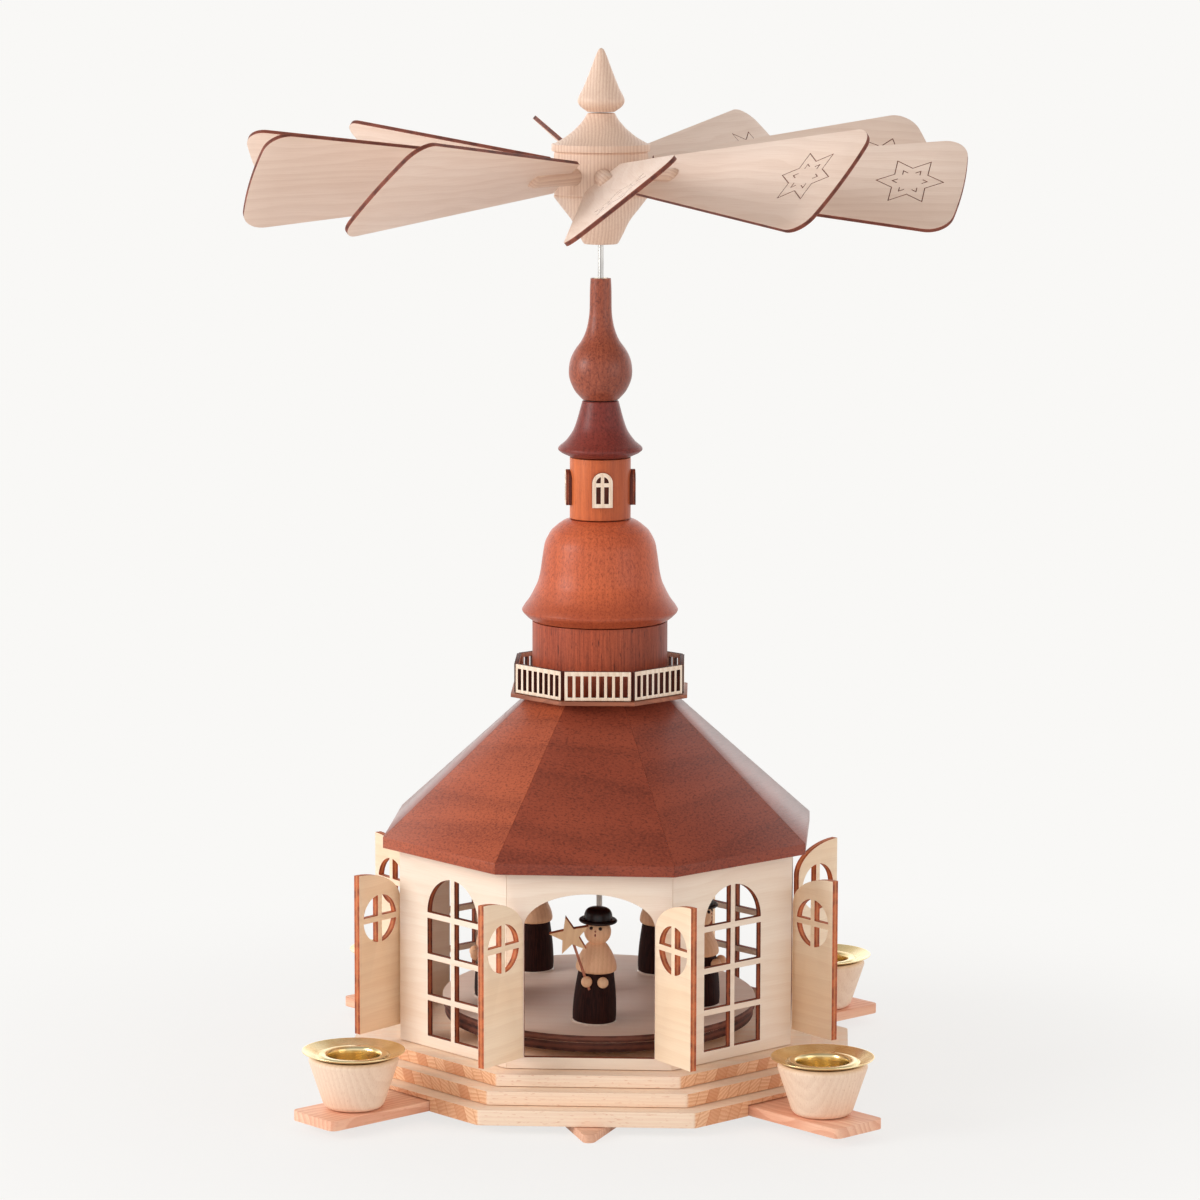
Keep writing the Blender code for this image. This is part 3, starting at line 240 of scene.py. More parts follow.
# The peg's rounded end, as shares of its radius and millimetres back from its tip
PEG_END = ((1.0, 2.2), (0.86, 1.1), (0.5, 0.25), (0.0, 0.0))
BLADE_THICKNESS = 1.5 * MM
BLADE_ROOT = 21.0 * MM
BLADE_ROOT_WIDTH = 14.9 * MM
BLADE_REACH = 124.6 * MM
BLADE_WIDTH = 47.2 * MM
BLADE_CORNER = 8.0 * MM
BLADE_FIRST = -84.2
BLADE_SETTINGS = (
    (0.0, 38.5, -1.0), (-1.0, 44.5, 1.5), (0.5, 38.5, -1.0), (0.0, 45.0, 1.0), (1.0, 45.0, 1.0),
    (1.0, 42.5, 0.0), (1.0, 41.0, 0.0), (-2.0, 41.5, -0.5), (1.0, 45.5, 0.0), (-2.0, 42.5, 0.0),
)
STAR_PLACE = (106.3 * MM, 1.2 * MM)
STAR_TIP = 11.4 * MM
STAR_NOTCH = 6.5 * MM
CHEVRON_PLACE = 5.9 * MM
CHEVRON_LEG = 1.8 * MM
ENGRAVED_WIDTH = 0.32 * MM
ENGRAVED_DEPTH = 0.25 * MM

# Which local axis runs across, deep into and along the grain, and how far the pieces' woods lie apart
UPRIGHT = (0, 1, 2)
LENGTHWISE = (1, 2, 0)
LEVEL = (2, 1, 0)
SPREAD = 400.0

# Name, azimuth, elevation, distance, size and power of each lamp, and the world's light with its
# levels at the horizon and overhead and its gain behind the object
LAMPS = (("key", -155.0, 20.0, 1.5, 0.8, 10.5), ("fill", -35.0, 6.0, 1.8, 1.2, 3.5))
LAMP_TARGET = (0.0, 0.0, 0.15)
AMBIENT = (255, 253, 252)
AMBIENT_LEVELS = (1.0, 0.36)
BEHIND_LEVEL = 1.6
BACKDROP = (249, 248, 246)
FLOOR_REACH = 4.0
FLOOR_COLOUR = (250, 249, 248)
FLOOR_FADE = (0.13, 0.32)
FLOOR_LIFT = 0.78

# The camera's place in millimetres, its tilt and roll in degrees and its lens
CAMERA_PLACE = (76.7, -1573.9, 394.9)
CAMERA_PITCH = 8.25
CAMERA_ROLL = 0.13
CAMERA_LENS = 138.93

draws = random.Random(11)

# Every finished material by its name
LOOKS = {}


def srgb(colour):
    """A linear colour from its red, green and blue on a screen, 0 to 255."""
    shares = [value / 255.0 for value in colour]
    linear = [s / 12.92 if s <= 0.04045 else ((s + 0.055) / 1.055) ** 2.4 for s in shares]
    return (*linear, 1.0)


class Nodes:
    """A node tree that is put together one step at a time."""

    def __init__(self, owner):
        owner.use_nodes = True
        self.tree = owner.node_tree

    def add(self, kind, inputs=None, output=0, **settings):
        """Add a node, feed its inputs by index or name, and return one of its outputs."""
        node = self.tree.nodes.new("ShaderNode" + kind)
        for key, value in settings.items():
            setattr(node, key, value)
        for key, value in (inputs or {}).items():
            self.feed(node.inputs[key], value)
        return node.outputs[output]

    def feed(self, socket, value):
        """Link a socket to an output, or set its own value."""
        if isinstance(value, bpy.types.NodeSocket):
            self.tree.links.new(value, socket)
        else:
            socket.default_value = value

    def calc(self, operation, *values):
        """A number worked out from others."""
        return self.add("Math", dict(enumerate(values)), operation=operation)

    def sum(self, first, second):
        """The sum of two numbers."""
        return self.calc("ADD", first, second)

    def times(self, first, second):
        """The product of two numbers."""
        return self.calc("MULTIPLY", first, second)

    def within(self, value, low, high, start=0.0, end=1.0):
        """A soft step from start to end, while a value goes from low to high."""
        inputs = {"Value": value, "From Min": low, "From Max": high, "To Min": start, "To Max": end}
        return self.add("MapRange", inputs, interpolation_type="SMOOTHSTEP")

    def part(self, vector, axis):
        """One coordinate of a vector."""
        return self.add("SeparateXYZ", {0: vector}, "XYZ".index(axis))

    def place(self):
        """A point's place on its object."""
        return self.add("TexCoord", output="Object")

    def reach(self, vector, shift=(0.0, 0.0)):
        """How far a place, once it is shifted in X and Y, lies from the Z axis."""
        inputs = {0: vector, 1: (1.0, 1.0, 0.0), 2: (*shift, 0.0)}
        flat = self.add("VectorMath", inputs, operation="MULTIPLY_ADD")
        return self.add("VectorMath", {0: flat}, "Value", operation="LENGTH")

    def rays(self, first, second):
        """1 for two kinds of rays and 0 for all others."""
        kinds = [self.add("LightPath", output="Is {} Ray".format(kind)) for kind in (first, second)]
        return self.calc("MAXIMUM", *kinds)


class Look(Nodes):
    """A surface drawn in its piece's wood coordinates, with a colour that is stained step by step."""

    def __init__(self, name, roughness, metallic=0.0, shine=0.5):
        self.name = name
        self.material = bpy.data.materials.new(name)
        super().__init__(self.material)
        self.shader = self.tree.nodes["Principled BSDF"]
        self.set_shader({"Roughness": roughness, "Metallic": metallic, "Specular IOR Level": shine})

    def set_shader(self, inputs):
        """Feed inputs of the shader by name."""
        for key, value in inputs.items():
            self.feed(self.shader.inputs[key], value)

    @cached_property
    def grain(self):
        """The piece's wood coordinates in millimetres: across, deep and along the grain."""
        return self.add("Attribute", output="Vector", attribute_name="grain")

    def noise(self, fineness, detail=2.0, roughness=0.5):
        """Noise from 0 to 1, with its fineness across, deep and along the grain."""
        place = self.add("VectorMath", {0: self.grain, 1: fineness}, operation="MULTIPLY")
        inputs = {"Vector": place, "Scale": 1.0, "Detail": detail, "Roughness": roughness}
        return self.add("TexNoise", inputs)

    def lines(self, lanes, low, high, end):
        """One line in each lane, which comes up slowly from low to high and stops short."""
        across = self.calc("FRACT", lanes)
        return self.times(self.within(across, low, high), self.within(across, 1.0, end))

    def rings(self, spacing, pith, wander, end=0.92):
        """Growth lines round a pith that lies beside the piece: 0 in early wood, 1 in late wood."""
        drift = self.times(self.noise((0.05, 0.05, 0.012)), wander)
        lanes = self.times(self.sum(self.reach(self.grain, pith), drift), 1.0 / spacing)
        return self.lines(lanes, 0.15, 0.9, end)

    def mix(self, share, first, second):
        """A share of the second colour over the first. Either may be a screen colour."""
        first, second = (srgb(c) if isinstance(c, tuple) else c for c in (first, second))
        return self.add("Mix", {0: share, 6: first, 7: second}, 2, data_type="RGBA")

    def stain(self, where, share, tint):
        """Lay a share of a tint over the colour so far."""
        self.colour = self.mix(self.times(where, share), self.colour, tint)

    def fade(self, value, span, tint):
        """Stain with a share of a tint from one value in millimetres to another."""
        start, end, share = span
        self.stain(self.within(value, start * MM, end * MM), share, tint)

    def finish(self, height, relief):
        """Paint the surface, raise it by a relief in millimetres and keep the material."""
        inputs = {"Height": height, "Strength": 1.0, "Distance": relief * MM}
        self.set_shader({"Base Color": self.colour, "Normal": self.add("Bump", inputs)})
        LOOKS[self.name] = self.material


def wood(name, light, dark, line, roughness, rings=(2.4, (40.0, 25.0), 14.0), shares=(0.35, 0.35, 0.35),
         fleck_size=(3.2, 0.42), coat=0.0, relief=0.02, shine=0.4, speckle=0.0, dust=0.0, rim=None,
         shade=None):
    """A wood with slow changes of tone and shares of growth lines, fibres and short flecks or pores.

    Speckle is a fine grit of pores and dust a pale bloom. Rim says between which distances from the
    shaft the colour is painted darker, as painted shade on a flaring lip, and shade says from where to
    where on X it is painted darker, as painted shade on the side away from the key lamp, and by how much.
    """
    look = Look(name, roughness, shine=shine)
    ring_share, fibre_share, fleck_share = shares
    broad = look.noise((0.045, 0.045, 0.012), 3.0)
    look.colour = look.mix(look.within(broad, 0.25, 0.75), light, dark)
    look.stain(look.rings(*rings), ring_share, line)
    fibre = look.noise((2.6, 2.6, 0.06), 4.0, 0.65)
    streaks = look.within(fibre, 0.42, 0.72)
    look.stain(streaks, fibre_share, line)
    across, along = fleck_size
    flecks = look.within(look.noise((across, across, along), 1.0), 0.66, 0.74)
    look.stain(flecks, fleck_share, line)
    if speckle:
        grit = look.noise((1.5, 1.5, 0.9), 2.0, 0.8)
        look.stain(look.within(grit, 0.5, 0.68), speckle, light)
        look.stain(look.within(grit, 0.5, 0.32), speckle, line)
    # Painted shade: darker towards a flaring lip (rim) and towards +X, away from the key lamp (shade).
    if rim:
        look.fade(look.reach(look.place()), rim, line)
    if shade:
        look.fade(look.part(look.place(), "X"), shade, line)
    look.set_shader({
        "Roughness": look.sum(look.times(streaks, 0.12), roughness - 0.04),
        "Coat Weight": coat, "Coat Roughness": 0.3, "Sheen Weight": dust, "Sheen Roughness": 0.25,
    })
    look.finish(look.sum(look.times(fibre, 0.6), look.times(flecks, -0.5)), relief)


def stave_wood(name, light, dark, line, roughness, stave=3.4):
    """Beech boards glued from narrow staves, whose rings slant one way and the other."""
    look = Look(name, roughness, shine=0.3)
    across, deep = (look.part(look.grain, axis) for axis in "XY")
    lanes = look.times(look.sum(across, look.times(deep, -0.3)), 1.0 / stave)
    chance = look.add("TexWhiteNoise", {"W": look.calc("FLOOR", lanes)}, noise_dimensions="1D")
    slant = look.sum(look.times(chance, 2.4), -1.2)
    slope = look.times(look.sum(look.times(across, slant), deep), 0.75)
    wave = look.times(look.noise((0.25, 0.25, 0.02), 3.0), 1.4)
    lines = look.lines(look.sum(slope, wave), 0.2, 0.85, 0.9)
    side = look.part(look.add("NewGeometry", output="Normal"), "X")
    ends = look.within(look.calc("ABSOLUTE", side), 0.25, 0.65)
    odd = look.sum(look.times(look.within(chance, 0.45, 1.0), 0.6), 0.1)
    tone = look.mix(look.times(chance, 0.3), light, dark)
    look.colour = look.mix(ends, tone, look.mix(odd, dark, line))
    look.stain(lines, look.sum(look.times(ends, 0.35), 0.1), line)
    fibre = look.noise((2.8, 2.8, 0.07), 4.0, 0.65)
    look.stain(look.within(fibre, 0.42, 0.75), 0.14, line)
    look.stain(look.within(look.noise((2.2, 2.2, 0.45), 1.0), 0.64, 0.72), 0.35, line)
    seams = look.within(look.calc("FRACT", lanes), 0.16, 0.0)
    look.stain(look.times(seams, ends), 0.65, line)
    look.finish(look.times(fibre, 0.6), 0.02)


def charred_edge(name, brown, ember, dark, thickness):
    """The laser-cut edge of plywood: burnt outer plies and a lighter one between them."""
    look = Look(name, 0.7)
    depth = look.calc("ABSOLUTE", look.times(look.part(look.grain, "Y"), MM / thickness))
    middle = look.times(look.within(depth, 0.25, 0.4), look.within(depth, 0.72, 0.6))
    patches = look.noise((0.35, 0.35, 0.18), 3.0)
    look.colour = look.mix(look.within(patches, 0.35, 0.7), brown, dark)
    look.stain(middle, 0.55, ember)
    fine = look.noise((1.4, 3.5, 1.4), 3.0)
    look.stain(look.within(fine, 0.4, 0.8), 0.4, dark)
    look.finish(fine, 0.03)


def metal(name, colour, shade, roughness, relief):
    """A metal with faint cloudiness and fine marks."""
    look = Look(name, roughness, metallic=1.0)
    cloud = look.noise((0.12, 0.12, 0.12), 3.0)
    look.set_shader({"Roughness": look.sum(look.times(cloud, 0.14), roughness - 0.06)})
    look.colour = look.mix(look.within(cloud, 0.35, 0.7), colour, shade)
    look.finish(look.noise((1.2, 1.2, 1.2), 3.0), relief)


def plain(name, colour, shade, roughness, fineness=(0.8, 0.8, 0.2), shine=0.3):
    """A stained or painted surface with a little unevenness."""
    look = Look(name, roughness, shine=shine)
    uneven = look.noise(fineness, 4.0, 0.6)
    look.colour = look.mix(look.within(uneven, 0.35, 0.7), colour, shade)
    look.finish(uneven, 0.02)


def make_looks():
    """Every material. A wood has its light, dark and line colours, roughness, rings and shares."""
    wood("wall_maple", (251, 235, 217), (247, 226, 205), (222, 188, 158), 0.55,
         (5.0, (70.0, 12.0), 18.0), (0.14, 0.16, 0.08), relief=0.01)
    wood("blade_maple", (249, 226, 209), (241, 214, 195), (214, 178, 154), 0.55,
         (4.5, (60.0, 12.0), 20.0), (0.18, 0.2, 0.1), relief=0.012)
    wood("leaf_maple", (255, 234, 206), (252, 222, 188), (222, 180, 142), 0.55,
         (4.5, (60.0, 12.0), 16.0), (0.14, 0.14, 0.08), relief=0.01, shine=0.3)
    wood("star_maple", (255, 222, 180), (250, 208, 164), (210, 156, 114), 0.55,
         shares=(0.15, 0.15, 0.1), shine=0.3)
    wood("railing_maple", (252, 236, 216), (244, 220, 196), (214, 176, 142), 0.55)
    wood("disc_maple", (255, 230, 212), (255, 224, 204), (228, 186, 160), 0.6,
         (6.0, (60.0, 12.0), 26.0), (0.1, 0.12, 0.1), relief=0.01, shine=0.3)
    wood("hub_beech", (240, 212, 190), (230, 196, 172), (194, 146, 120), 0.5,
         (1.15, (30.0, 12.0), 5.0), (0.4, 0.28, 0.35), coat=0.1)
    wood("cup_beech", (250, 224, 200), (243, 211, 184), (206, 160, 128), 0.55,
         (1.8, (26.0, 18.0), 6.0), (0.14, 0.2, 0.45))
    wood("arm_beech", (255, 212, 182), (248, 188, 156), (214, 134, 102), 0.55,
         (2.6, (8.0, 30.0), 16.0), (0.4, 0.3, 0.3), shine=0.3)
    wood("plate_beech", (250, 206, 178), (238, 188, 158), (200, 140, 110), 0.55, shine=0.3)
    stave_wood("board_beech", (255, 232, 208), (255, 210, 168), (212, 136, 92), 0.5)
    # The second roof wood is a lighter copy of the first: painted light for the segments that face the key
    # lamp.
    for name, *tones in (
        ("roof_mahogany", (158, 74, 50), (136, 60, 41), (78, 30, 22)),
        ("roof_mahogany_painted_lit", (190, 96, 62), (168, 80, 52), (96, 38, 28)),
    ):
        wood(name, *tones, 0.42, (15.0, (70.0, 34.0), 20.0, 0.7), (0.3, 0.12, 0.3), (2.6, 0.9),
             shine=0.3, speckle=0.6, dust=0.7)
    fine = {"fleck_size": (1.7, 0.5), "coat": 0.08, "relief": 0.03}
    # The rim and shade settings below paint shade: on the bell's lip and on the right sides of the tower's
    # turned pieces.
    wood("bell_mahogany", (214, 108, 66), (192, 90, 56), (124, 46, 32), 0.4,
         (2.6, (30.0, 14.0), 10.0), (0.15, 0.25, 0.35), shine=0.25, speckle=0.5,
         rim=(21.0, 26.0, 0.35), shade=(4.0, 26.0, 0.25), **fine)
    wood("lantern_mahogany", (138, 58, 48), (118, 46, 40), (72, 26, 22), 0.42,
         (2.2, (24.0, 10.0), 8.0), (0.15, 0.25, 0.35), shine=0.25, speckle=0.6, **fine)
    wood("spire_mahogany", (180, 96, 66), (154, 76, 54), (88, 36, 28), 0.4,
         (2.2, (24.0, 10.0), 8.0), (0.2, 0.3, 0.4), shine=0.35, speckle=0.6,
         shade=(-4.0, 11.0, 0.4), **fine)
    wood("drum_mahogany", (194, 94, 60), (164, 72, 46), (74, 28, 20), 0.45,
         (2.4, (20.0, 10.0), 9.0), (0.2, 0.6, 0.85), (1.5, 0.22), relief=0.04, shine=0.25,
         speckle=0.2, shade=(0.0, 22.0, 0.5))
    wood("padauk", (226, 122, 68), (204, 100, 56), (138, 56, 33), 0.42,
         (2.8, (18.0, 9.0), 8.0), (0.2, 0.4, 0.35), (2.8, 0.3), coat=0.08, shine=0.25,
         speckle=0.1, shade=(-5.0, 11.0, 0.55))
    wood("gallery_brown", (186, 116, 84), (150, 84, 58), (92, 44, 30), 0.5)
    wood("figure_maple", (255, 212, 170), (250, 192, 150), (206, 136, 96), 0.5,
         (1.4, (12.0, 7.0), 3.0), (0.16, 0.2, 0.15), shine=0.3)
    charred_edge("wall_edge", (146, 66, 38), (204, 112, 68), (84, 36, 22), PLYWOOD)
    charred_edge("leaf_edge", (204, 104, 58), (232, 150, 98), (146, 68, 38), LEAF_THICKNESS)
    charred_edge("blade_edge", (132, 66, 48), (178, 100, 72), (84, 38, 28), BLADE_THICKNESS)
    charred_edge("rail_edge", (86, 36, 26), (130, 66, 46), (52, 20, 14), RAILING_THICKNESS)
    charred_edge("disc_rim", (128, 74, 56), (160, 100, 78), (84, 44, 34), DISC_THICKNESS)
    charred_edge("disc_edge", (104, 54, 40), (140, 80, 58), (58, 26, 20), BACKING_THICKNESS)
    metal("brass", (246, 228, 180), (232, 204, 146), 0.22, 0.008)
    metal("steel", (196, 194, 190), (170, 168, 166), 0.28, 0.004)
    plain("engraved", (150, 88, 66), (112, 58, 42), 0.8)
    plain("black_stain", (34, 13, 12), (56, 26, 20), 0.6, (2.4, 2.4, 0.12), 0.12)
    plain("black_lacquer", (26, 15, 14), (40, 24, 21), 0.35, shine=0.4)
    plain("pink_stick", (200, 128, 100), (168, 96, 74), 0.5)
    plain("painted_eye", (60, 34, 28), (44, 24, 20), 0.35)
    plain("painted_mouth", (150, 50, 44), (120, 36, 34), 0.35)
    plain("clear_glue", (226, 206, 190), (214, 190, 172), 0.12)
    # Painted shade: the dark plates behind the tower's window frames stand in for the shade in their
    # openings.
    plain("painted_shade_pane", (104, 50, 38), (80, 38, 30), 0.5, shine=0.2)


def spin(angle, axis="Z"):
    """A turn by an angle in degrees about an axis."""
    return Matrix.Rotation(radians(angle), 4, axis)


def shift(*way):
    """A move along X, Y and Z."""
    return Matrix.Translation(way)


def moved(bm, matrix):
    """Move a mesh and return it."""
    bmesh.ops.transform(bm, verts=bm.verts, matrix=matrix)
    return bm


def polar(reach, angle):
    """The flat point at a distance from the middle and an angle in degrees."""
    return (reach * cos(radians(angle)), reach * sin(radians(angle)))


def pointing(azimuth, elevation):
    """The direction with an azimuth from X and an elevation, in degrees."""
    return Vector((*polar(cos(radians(elevation)), azimuth), sin(radians(elevation))))


def turned(profile, sides=FINE_SIDES, closed=False):
    """Turn a profile of (radius, height) points about Z. A closed one runs back to its start."""
    bm = bmesh.new()
    angles = [2.0 * pi * k / sides for k in range(sides)]
    loops = []
    for radius, height in profile:
        points = [(radius * cos(a), radius * sin(a), height) for a in angles]
        loops.append([bm.verts.new(point) for point in (points if radius > 0.0 else points[:1])])
    for first, second in zip(loops, loops[1:] + loops[:closed]):
        for k in range(sides):
            after = (k + 1) % sides
            corners = [first[k % len(first)], first[after % len(first)]]
            corners += [second[after % len(second)], second[k % len(second)]]
            corners = list(dict.fromkeys(corners))
            if len(corners) > 2:
                bm.faces.new(corners)
    return bm


def curve_through(points):
    """A smooth curve through a few points of a profile."""
    knots = [Vector(point) for point in points]
    knots = [2.0 * knots[0] - knots[1], *knots, 2.0 * knots[-1] - knots[-2]]
    curve = []
    for before, start, end, after in zip(knots, knots[1:], knots[2:], knots[3:]):
        for step in range(CURVE_STEPS):
            t = step / CURVE_STEPS
            bend = (2.0 * before - 5.0 * start + 4.0 * end - after) * t * t
            twist = (3.0 * start - 3.0 * end + after - before) * t * t * t
            curve.append(tuple(0.5 * (2.0 * start + (end - before) * t + bend + twist)))
    return [*curve, tuple(points[-1])]


def eased(profile, size, steps=4):
    """Round the corners of a profile with small curves."""
    points = [Vector(point) for point in profile]
    result = [tuple(points[0])]
    for before, corner, after in zip(points, points[1:], points[2:]):
        back = before - corner
        ahead = after - corner
        on_axis = min(back.length, ahead.length) == 0.0 or corner.x <= 0.0
        if on_axis or degrees(pi - back.angle(ahead)) < EASED_CORNER:
            result.append(tuple(corner))
            continue
        start = corner + back.normalized() * min(size, 0.4 * back.length)
        end = corner + ahead.normalized() * min(size, 0.4 * ahead.length)
        for step in range(steps + 1):
            t = step / steps
            result.append(tuple((1 - t) ** 2 * start + 2 * t * (1 - t) * corner + t * t * end))
    return [*result, tuple(points[-1])]


def in_metres(points, foot=0.0):
    """Profile points written in millimetres above a piece's foot."""
    return [(radius * MM, foot + height * MM) for radius, height in points]


def bored(profile, bore):
    """Close a profile, which runs from its foot to its top, along a passage of a given radius."""
    return [(bore, profile[0][1]), *profile, (bore, profile[-1][1])]


def arc(centre, radius, start, end, steps, rise=None):
    """Points along an arc between two angles in degrees. A rise of its own makes it half an oval."""
    angles = [radians(start + (end - start) * k / steps) for k in range(steps + 1)]
    rise = rise or radius
    return [(centre[0] + radius * cos(a), centre[1] + rise * sin(a)) for a in angles]


def circle(radius, sides):
    """A closed loop of points round a circle."""
    return arc((0.0, 0.0), radius, 0.0, 360.0, sides)[:-1]


def rectangle(left, right, bottom, top):
    """The corners of a rectangle, anticlockwise."""
    return [(left, bottom), (right, bottom), (right, top), (left, top)]


def octagon(apothem):
    """The corners of an octagon with a flat side facing -Y."""
    start = 180.0 / OCTAGON - 90.0
    return arc((0.0, 0.0), apothem / cos(pi / OCTAGON), start, start + 360.0, OCTAGON)[:-1]


def star_points(tip, notch, count, turn=0.0):
    """The outline of a star with a number of points."""
    return [polar(notch if k % 2 else tip, turn + 180.0 * k / count) for k in range(2 * count)]


def round_corners(points, radius, steps=6):
    """Replace each corner of a convex anticlockwise outline with an arc."""
    rounded = []
    for k, point in enumerate(points):
        corner = Vector(point)
        back = (Vector(points[k - 1]) - corner).normalized()
        ahead = (Vector(points[(k + 1) % len(points)]) - corner).normalized()
        angle = back.angle(ahead)
        centre = corner + (back + ahead).normalized() * radius / sin(angle / 2.0)
        start = degrees(atan2(-back.x, back.y)) + 180.0
        rounded += arc(centre, radius, start, start + 180.0 - degrees(angle), steps)
    return rounded


def slab(outline, low, high, holes=(), edge=0.0, steps=2):
    """Extrude a flat outline with holes between two heights, with its edges eased."""
    bm = bmesh.new()
    edges = []
    for loop in (outline, *holes):
        verts = [bm.verts.new((x, y, low)) for x, y in loop]
        edges += [bm.edges.new((verts[k - 1], verts[k])) for k in range(len(verts))]
    bmesh.ops.triangle_fill(bm, use_beauty=True, use_dissolve=False, edges=edges)
    raised = bmesh.ops.extrude_face_region(bm, geom=list(bm.faces))
    lifted = [item for item in raised["geom"] if isinstance(item, bmesh.types.BMVert)]
    bmesh.ops.translate(bm, verts=lifted, vec=(0.0, 0.0, high - low))
    bmesh.ops.recalc_face_normals(bm, faces=bm.faces)
    if edge:
        ease_edges(bm, edge, steps)
    return bm


def ease_edges(bm, size, steps=2, least=50.0):
    """Bevel the edges of a mesh that are sharper than an angle in degrees."""
    sharp = [e for e in bm.edges if e.is_manifold and e.calc_face_angle(0.0) > radians(least)]
    bmesh.ops.bevel(bm, geom=sharp, offset=size, segments=steps, profile=0.5, affect="EDGES",
                    clamp_overlap=True)


def upright(outline, thickness, holes=(), edge=0.0):
    """A panel drawn in X and Z whose outer face lies at Y = 0 and whose inner face is at +Y."""
    return moved(slab(outline, -thickness, 0.0, holes, edge), spin(90.0, "X"))


def block(low, high):
    """A rectangular block between two corners."""
    return slab(rectangle(low[0], high[0], low[1], high[1]), low[2], high[2])


def add_object(name, data):
    """Put a new object into the scene."""
    thing = bpy.data.objects.new(name, data)
    bpy.context.scene.collection.objects.link(thing)
    return thing


def make_mesh(name, bm, looks):
    """Finish a working mesh, with its faces outward and with the looks that are named."""
    bmesh.ops.recalc_face_normals(bm, faces=bm.faces)
    mesh = bpy.data.meshes.new(name)
    for look in looks.split():
        mesh.materials.append(LOOKS[look])
    bm.to_mesh(mesh)
    bm.free()
    return mesh


def cut(bm, tool, looks):
    """Cut one mesh out of another. Both keep the indices of their faces' looks."""
    things = [add_object("shape", make_mesh("shape", shape, looks)) for shape in (bm, tool)]
    modifier = things[0].modifiers.new("cut", "BOOLEAN")
    modifier.operation = "DIFFERENCE"
    modifier.solver = "EXACT"
    modifier.object = things[1]
    bpy.context.view_layer.update()
    evaluated = things[0].evaluated_get(bpy.context.evaluated_depsgraph_get())
    mesh = bpy.data.meshes.new_from_object(evaluated)
    result = bmesh.new()
    result.from_mesh(mesh)
    for thing in things:
        bpy.data.objects.remove(thing, do_unlink=True)
    bpy.data.meshes.remove(mesh)
    return result


def facing(index, count=OCTAGON):
    """The angle in degrees that a side of the house faces, counted from the front."""
    return 360.0 * index / count - 90.0


def placed(angle, distance, height):
    """The place of a panel at a distance from the shaft, with its outer side facing out."""
    return shift(*polar(distance, angle), height) @ spin(angle + 90.0)


def mark_cut_edges(bm, axis):
    """Give the faces square to an axis the first look and the others the second."""
    bm.normal_update()
    for face in bm.faces:
        face.material_index = 0 if abs(face.normal[axis]) > 0.6 else 1


def dress(name, bm, body, looks, stands_for=None, place=Matrix(), axes=UPRIGHT, tilt=Matrix()):
    """Make a finished piece: wood coordinates, materials, place, body and the node it stands for.

    Axes says which local axis lies across, deep into and along the grain.
    """
    mesh = make_mesh(name, bm, looks)
    offset = Vector((draws.uniform(0.0, SPREAD), 0.0, draws.uniform(0.0, SPREAD)))
    grain = mesh.attributes.new("grain", "FLOAT_VECTOR", "POINT")
    for vert, item in zip(mesh.vertices, grain.data):
        spot = tilt @ (vert.co / MM)
        item.vector = Vector([spot[axis] for axis in axes]) + offset
    mesh.transform(place)
    mesh.shade_smooth()
    mesh.set_sharp_from_angle(angle=radians(SHARP_ANGLE))
    piece = add_object(name, mesh)
    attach(piece, body)
    if stands_for:
        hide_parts(stands_for)


def levels(node):
    """The lowest and the highest height of a node."""
    low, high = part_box(node)
    return low.z, high.z


def plate_outline():
    """Four points with rounded tips that meet in inner corners, from the front one round."""
    half = radians(PLATE_POINT_ANGLE / 2.0)
    slope = tan(half)
    sharp = PLATE_POINT_RADIUS / sin(half) - PLATE_POINT_RADIUS
    outline = []
    for k in range(4):
        own, other = (PLATE_REACH[(k + n) % 2] for n in range(2))
        angle = facing(k, 4) + PLATE_TURN
        ahead = Vector(polar(1.0, angle))
        aside = Vector((-ahead.y, ahead.x))
        swing = 90.0 - PLATE_POINT_ANGLE / 2.0
        centre = ahead * (own - PLATE_POINT_RADIUS)
        outline += arc(centre, PLATE_POINT_RADIUS, angle - swing, angle + swing, 8)
        along = slope * (other + sharp - slope * (own + sharp)) / (1.0 - slope * slope)
        outline.append(tuple(ahead * along + aside * slope * (own + sharp - along)))
    return outline


def make_base():
    """The under plate and the three stepped boards."""
    plate = slab(plate_outline(), *levels("under_plate"), edge=0.3 * MM)
    dress("under_plate_board", plate, "house", "plate_beech", "under_plate", axes=LENGTHWISE)
    names = ("base_board_lower", "base_board_middle", "base_board_upper")
    for name, apothem in zip(names, BOARD_APOTHEMS):
        low, high = levels(name)
        outline = round_corners(octagon(apothem), BOARD_CORNER)
        holes = [circle(BEARING_HOLE, SMALL_SIDES)] if name == names[-1] else []
        board = slab(outline, low, high, holes, edge=0.45 * MM, steps=3)
        if name == names[0]:
            slot_top = levels("arm_board_a")[1] + ARM_SLOT_GAP
            half = ARM_WIDTH / 2.0 + ARM_SLOT_GAP
            for angle in ARM_ANGLES:
                slot = block((-ARM_REACH, -half, low - 2.0 * MM), (ARM_REACH, half, slot_top))
                board = cut(board, moved(slot, spin(angle)), "board_beech")
        dress(name + "_dressed", board, "house", "board_beech", name, axes=LENGTHWISE)


def make_arms():
    """The two arm boards, half lapped over each other."""
    low, high = levels("arm_board_a")
    middle = (low + high) / 2.0
    half = ARM_WIDTH / 2.0 + ARM_SLOT_GAP
    notches = ((middle - LAP_GAP / 2.0, high + LAP_SPARE), (low - LAP_SPARE, middle + LAP_GAP / 2.0))
    for name, angle, (start, end) in zip(("arm_board_a", "arm_board_b"), ARM_ANGLES, notches):
        strip = rectangle(-ARM_REACH, ARM_REACH, -ARM_WIDTH / 2.0, ARM_WIDTH / 2.0)
        board = slab(round_corners(strip, ARM_CORNER), low, high, edge=0.4 * MM, steps=3)
        board = cut(board, block((-half, -ARM_WIDTH, start), (half, ARM_WIDTH, end)), "arm_beech")
        dress(name + "_dressed", board, "house", "arm_beech", name, spin(angle), LENGTHWISE)


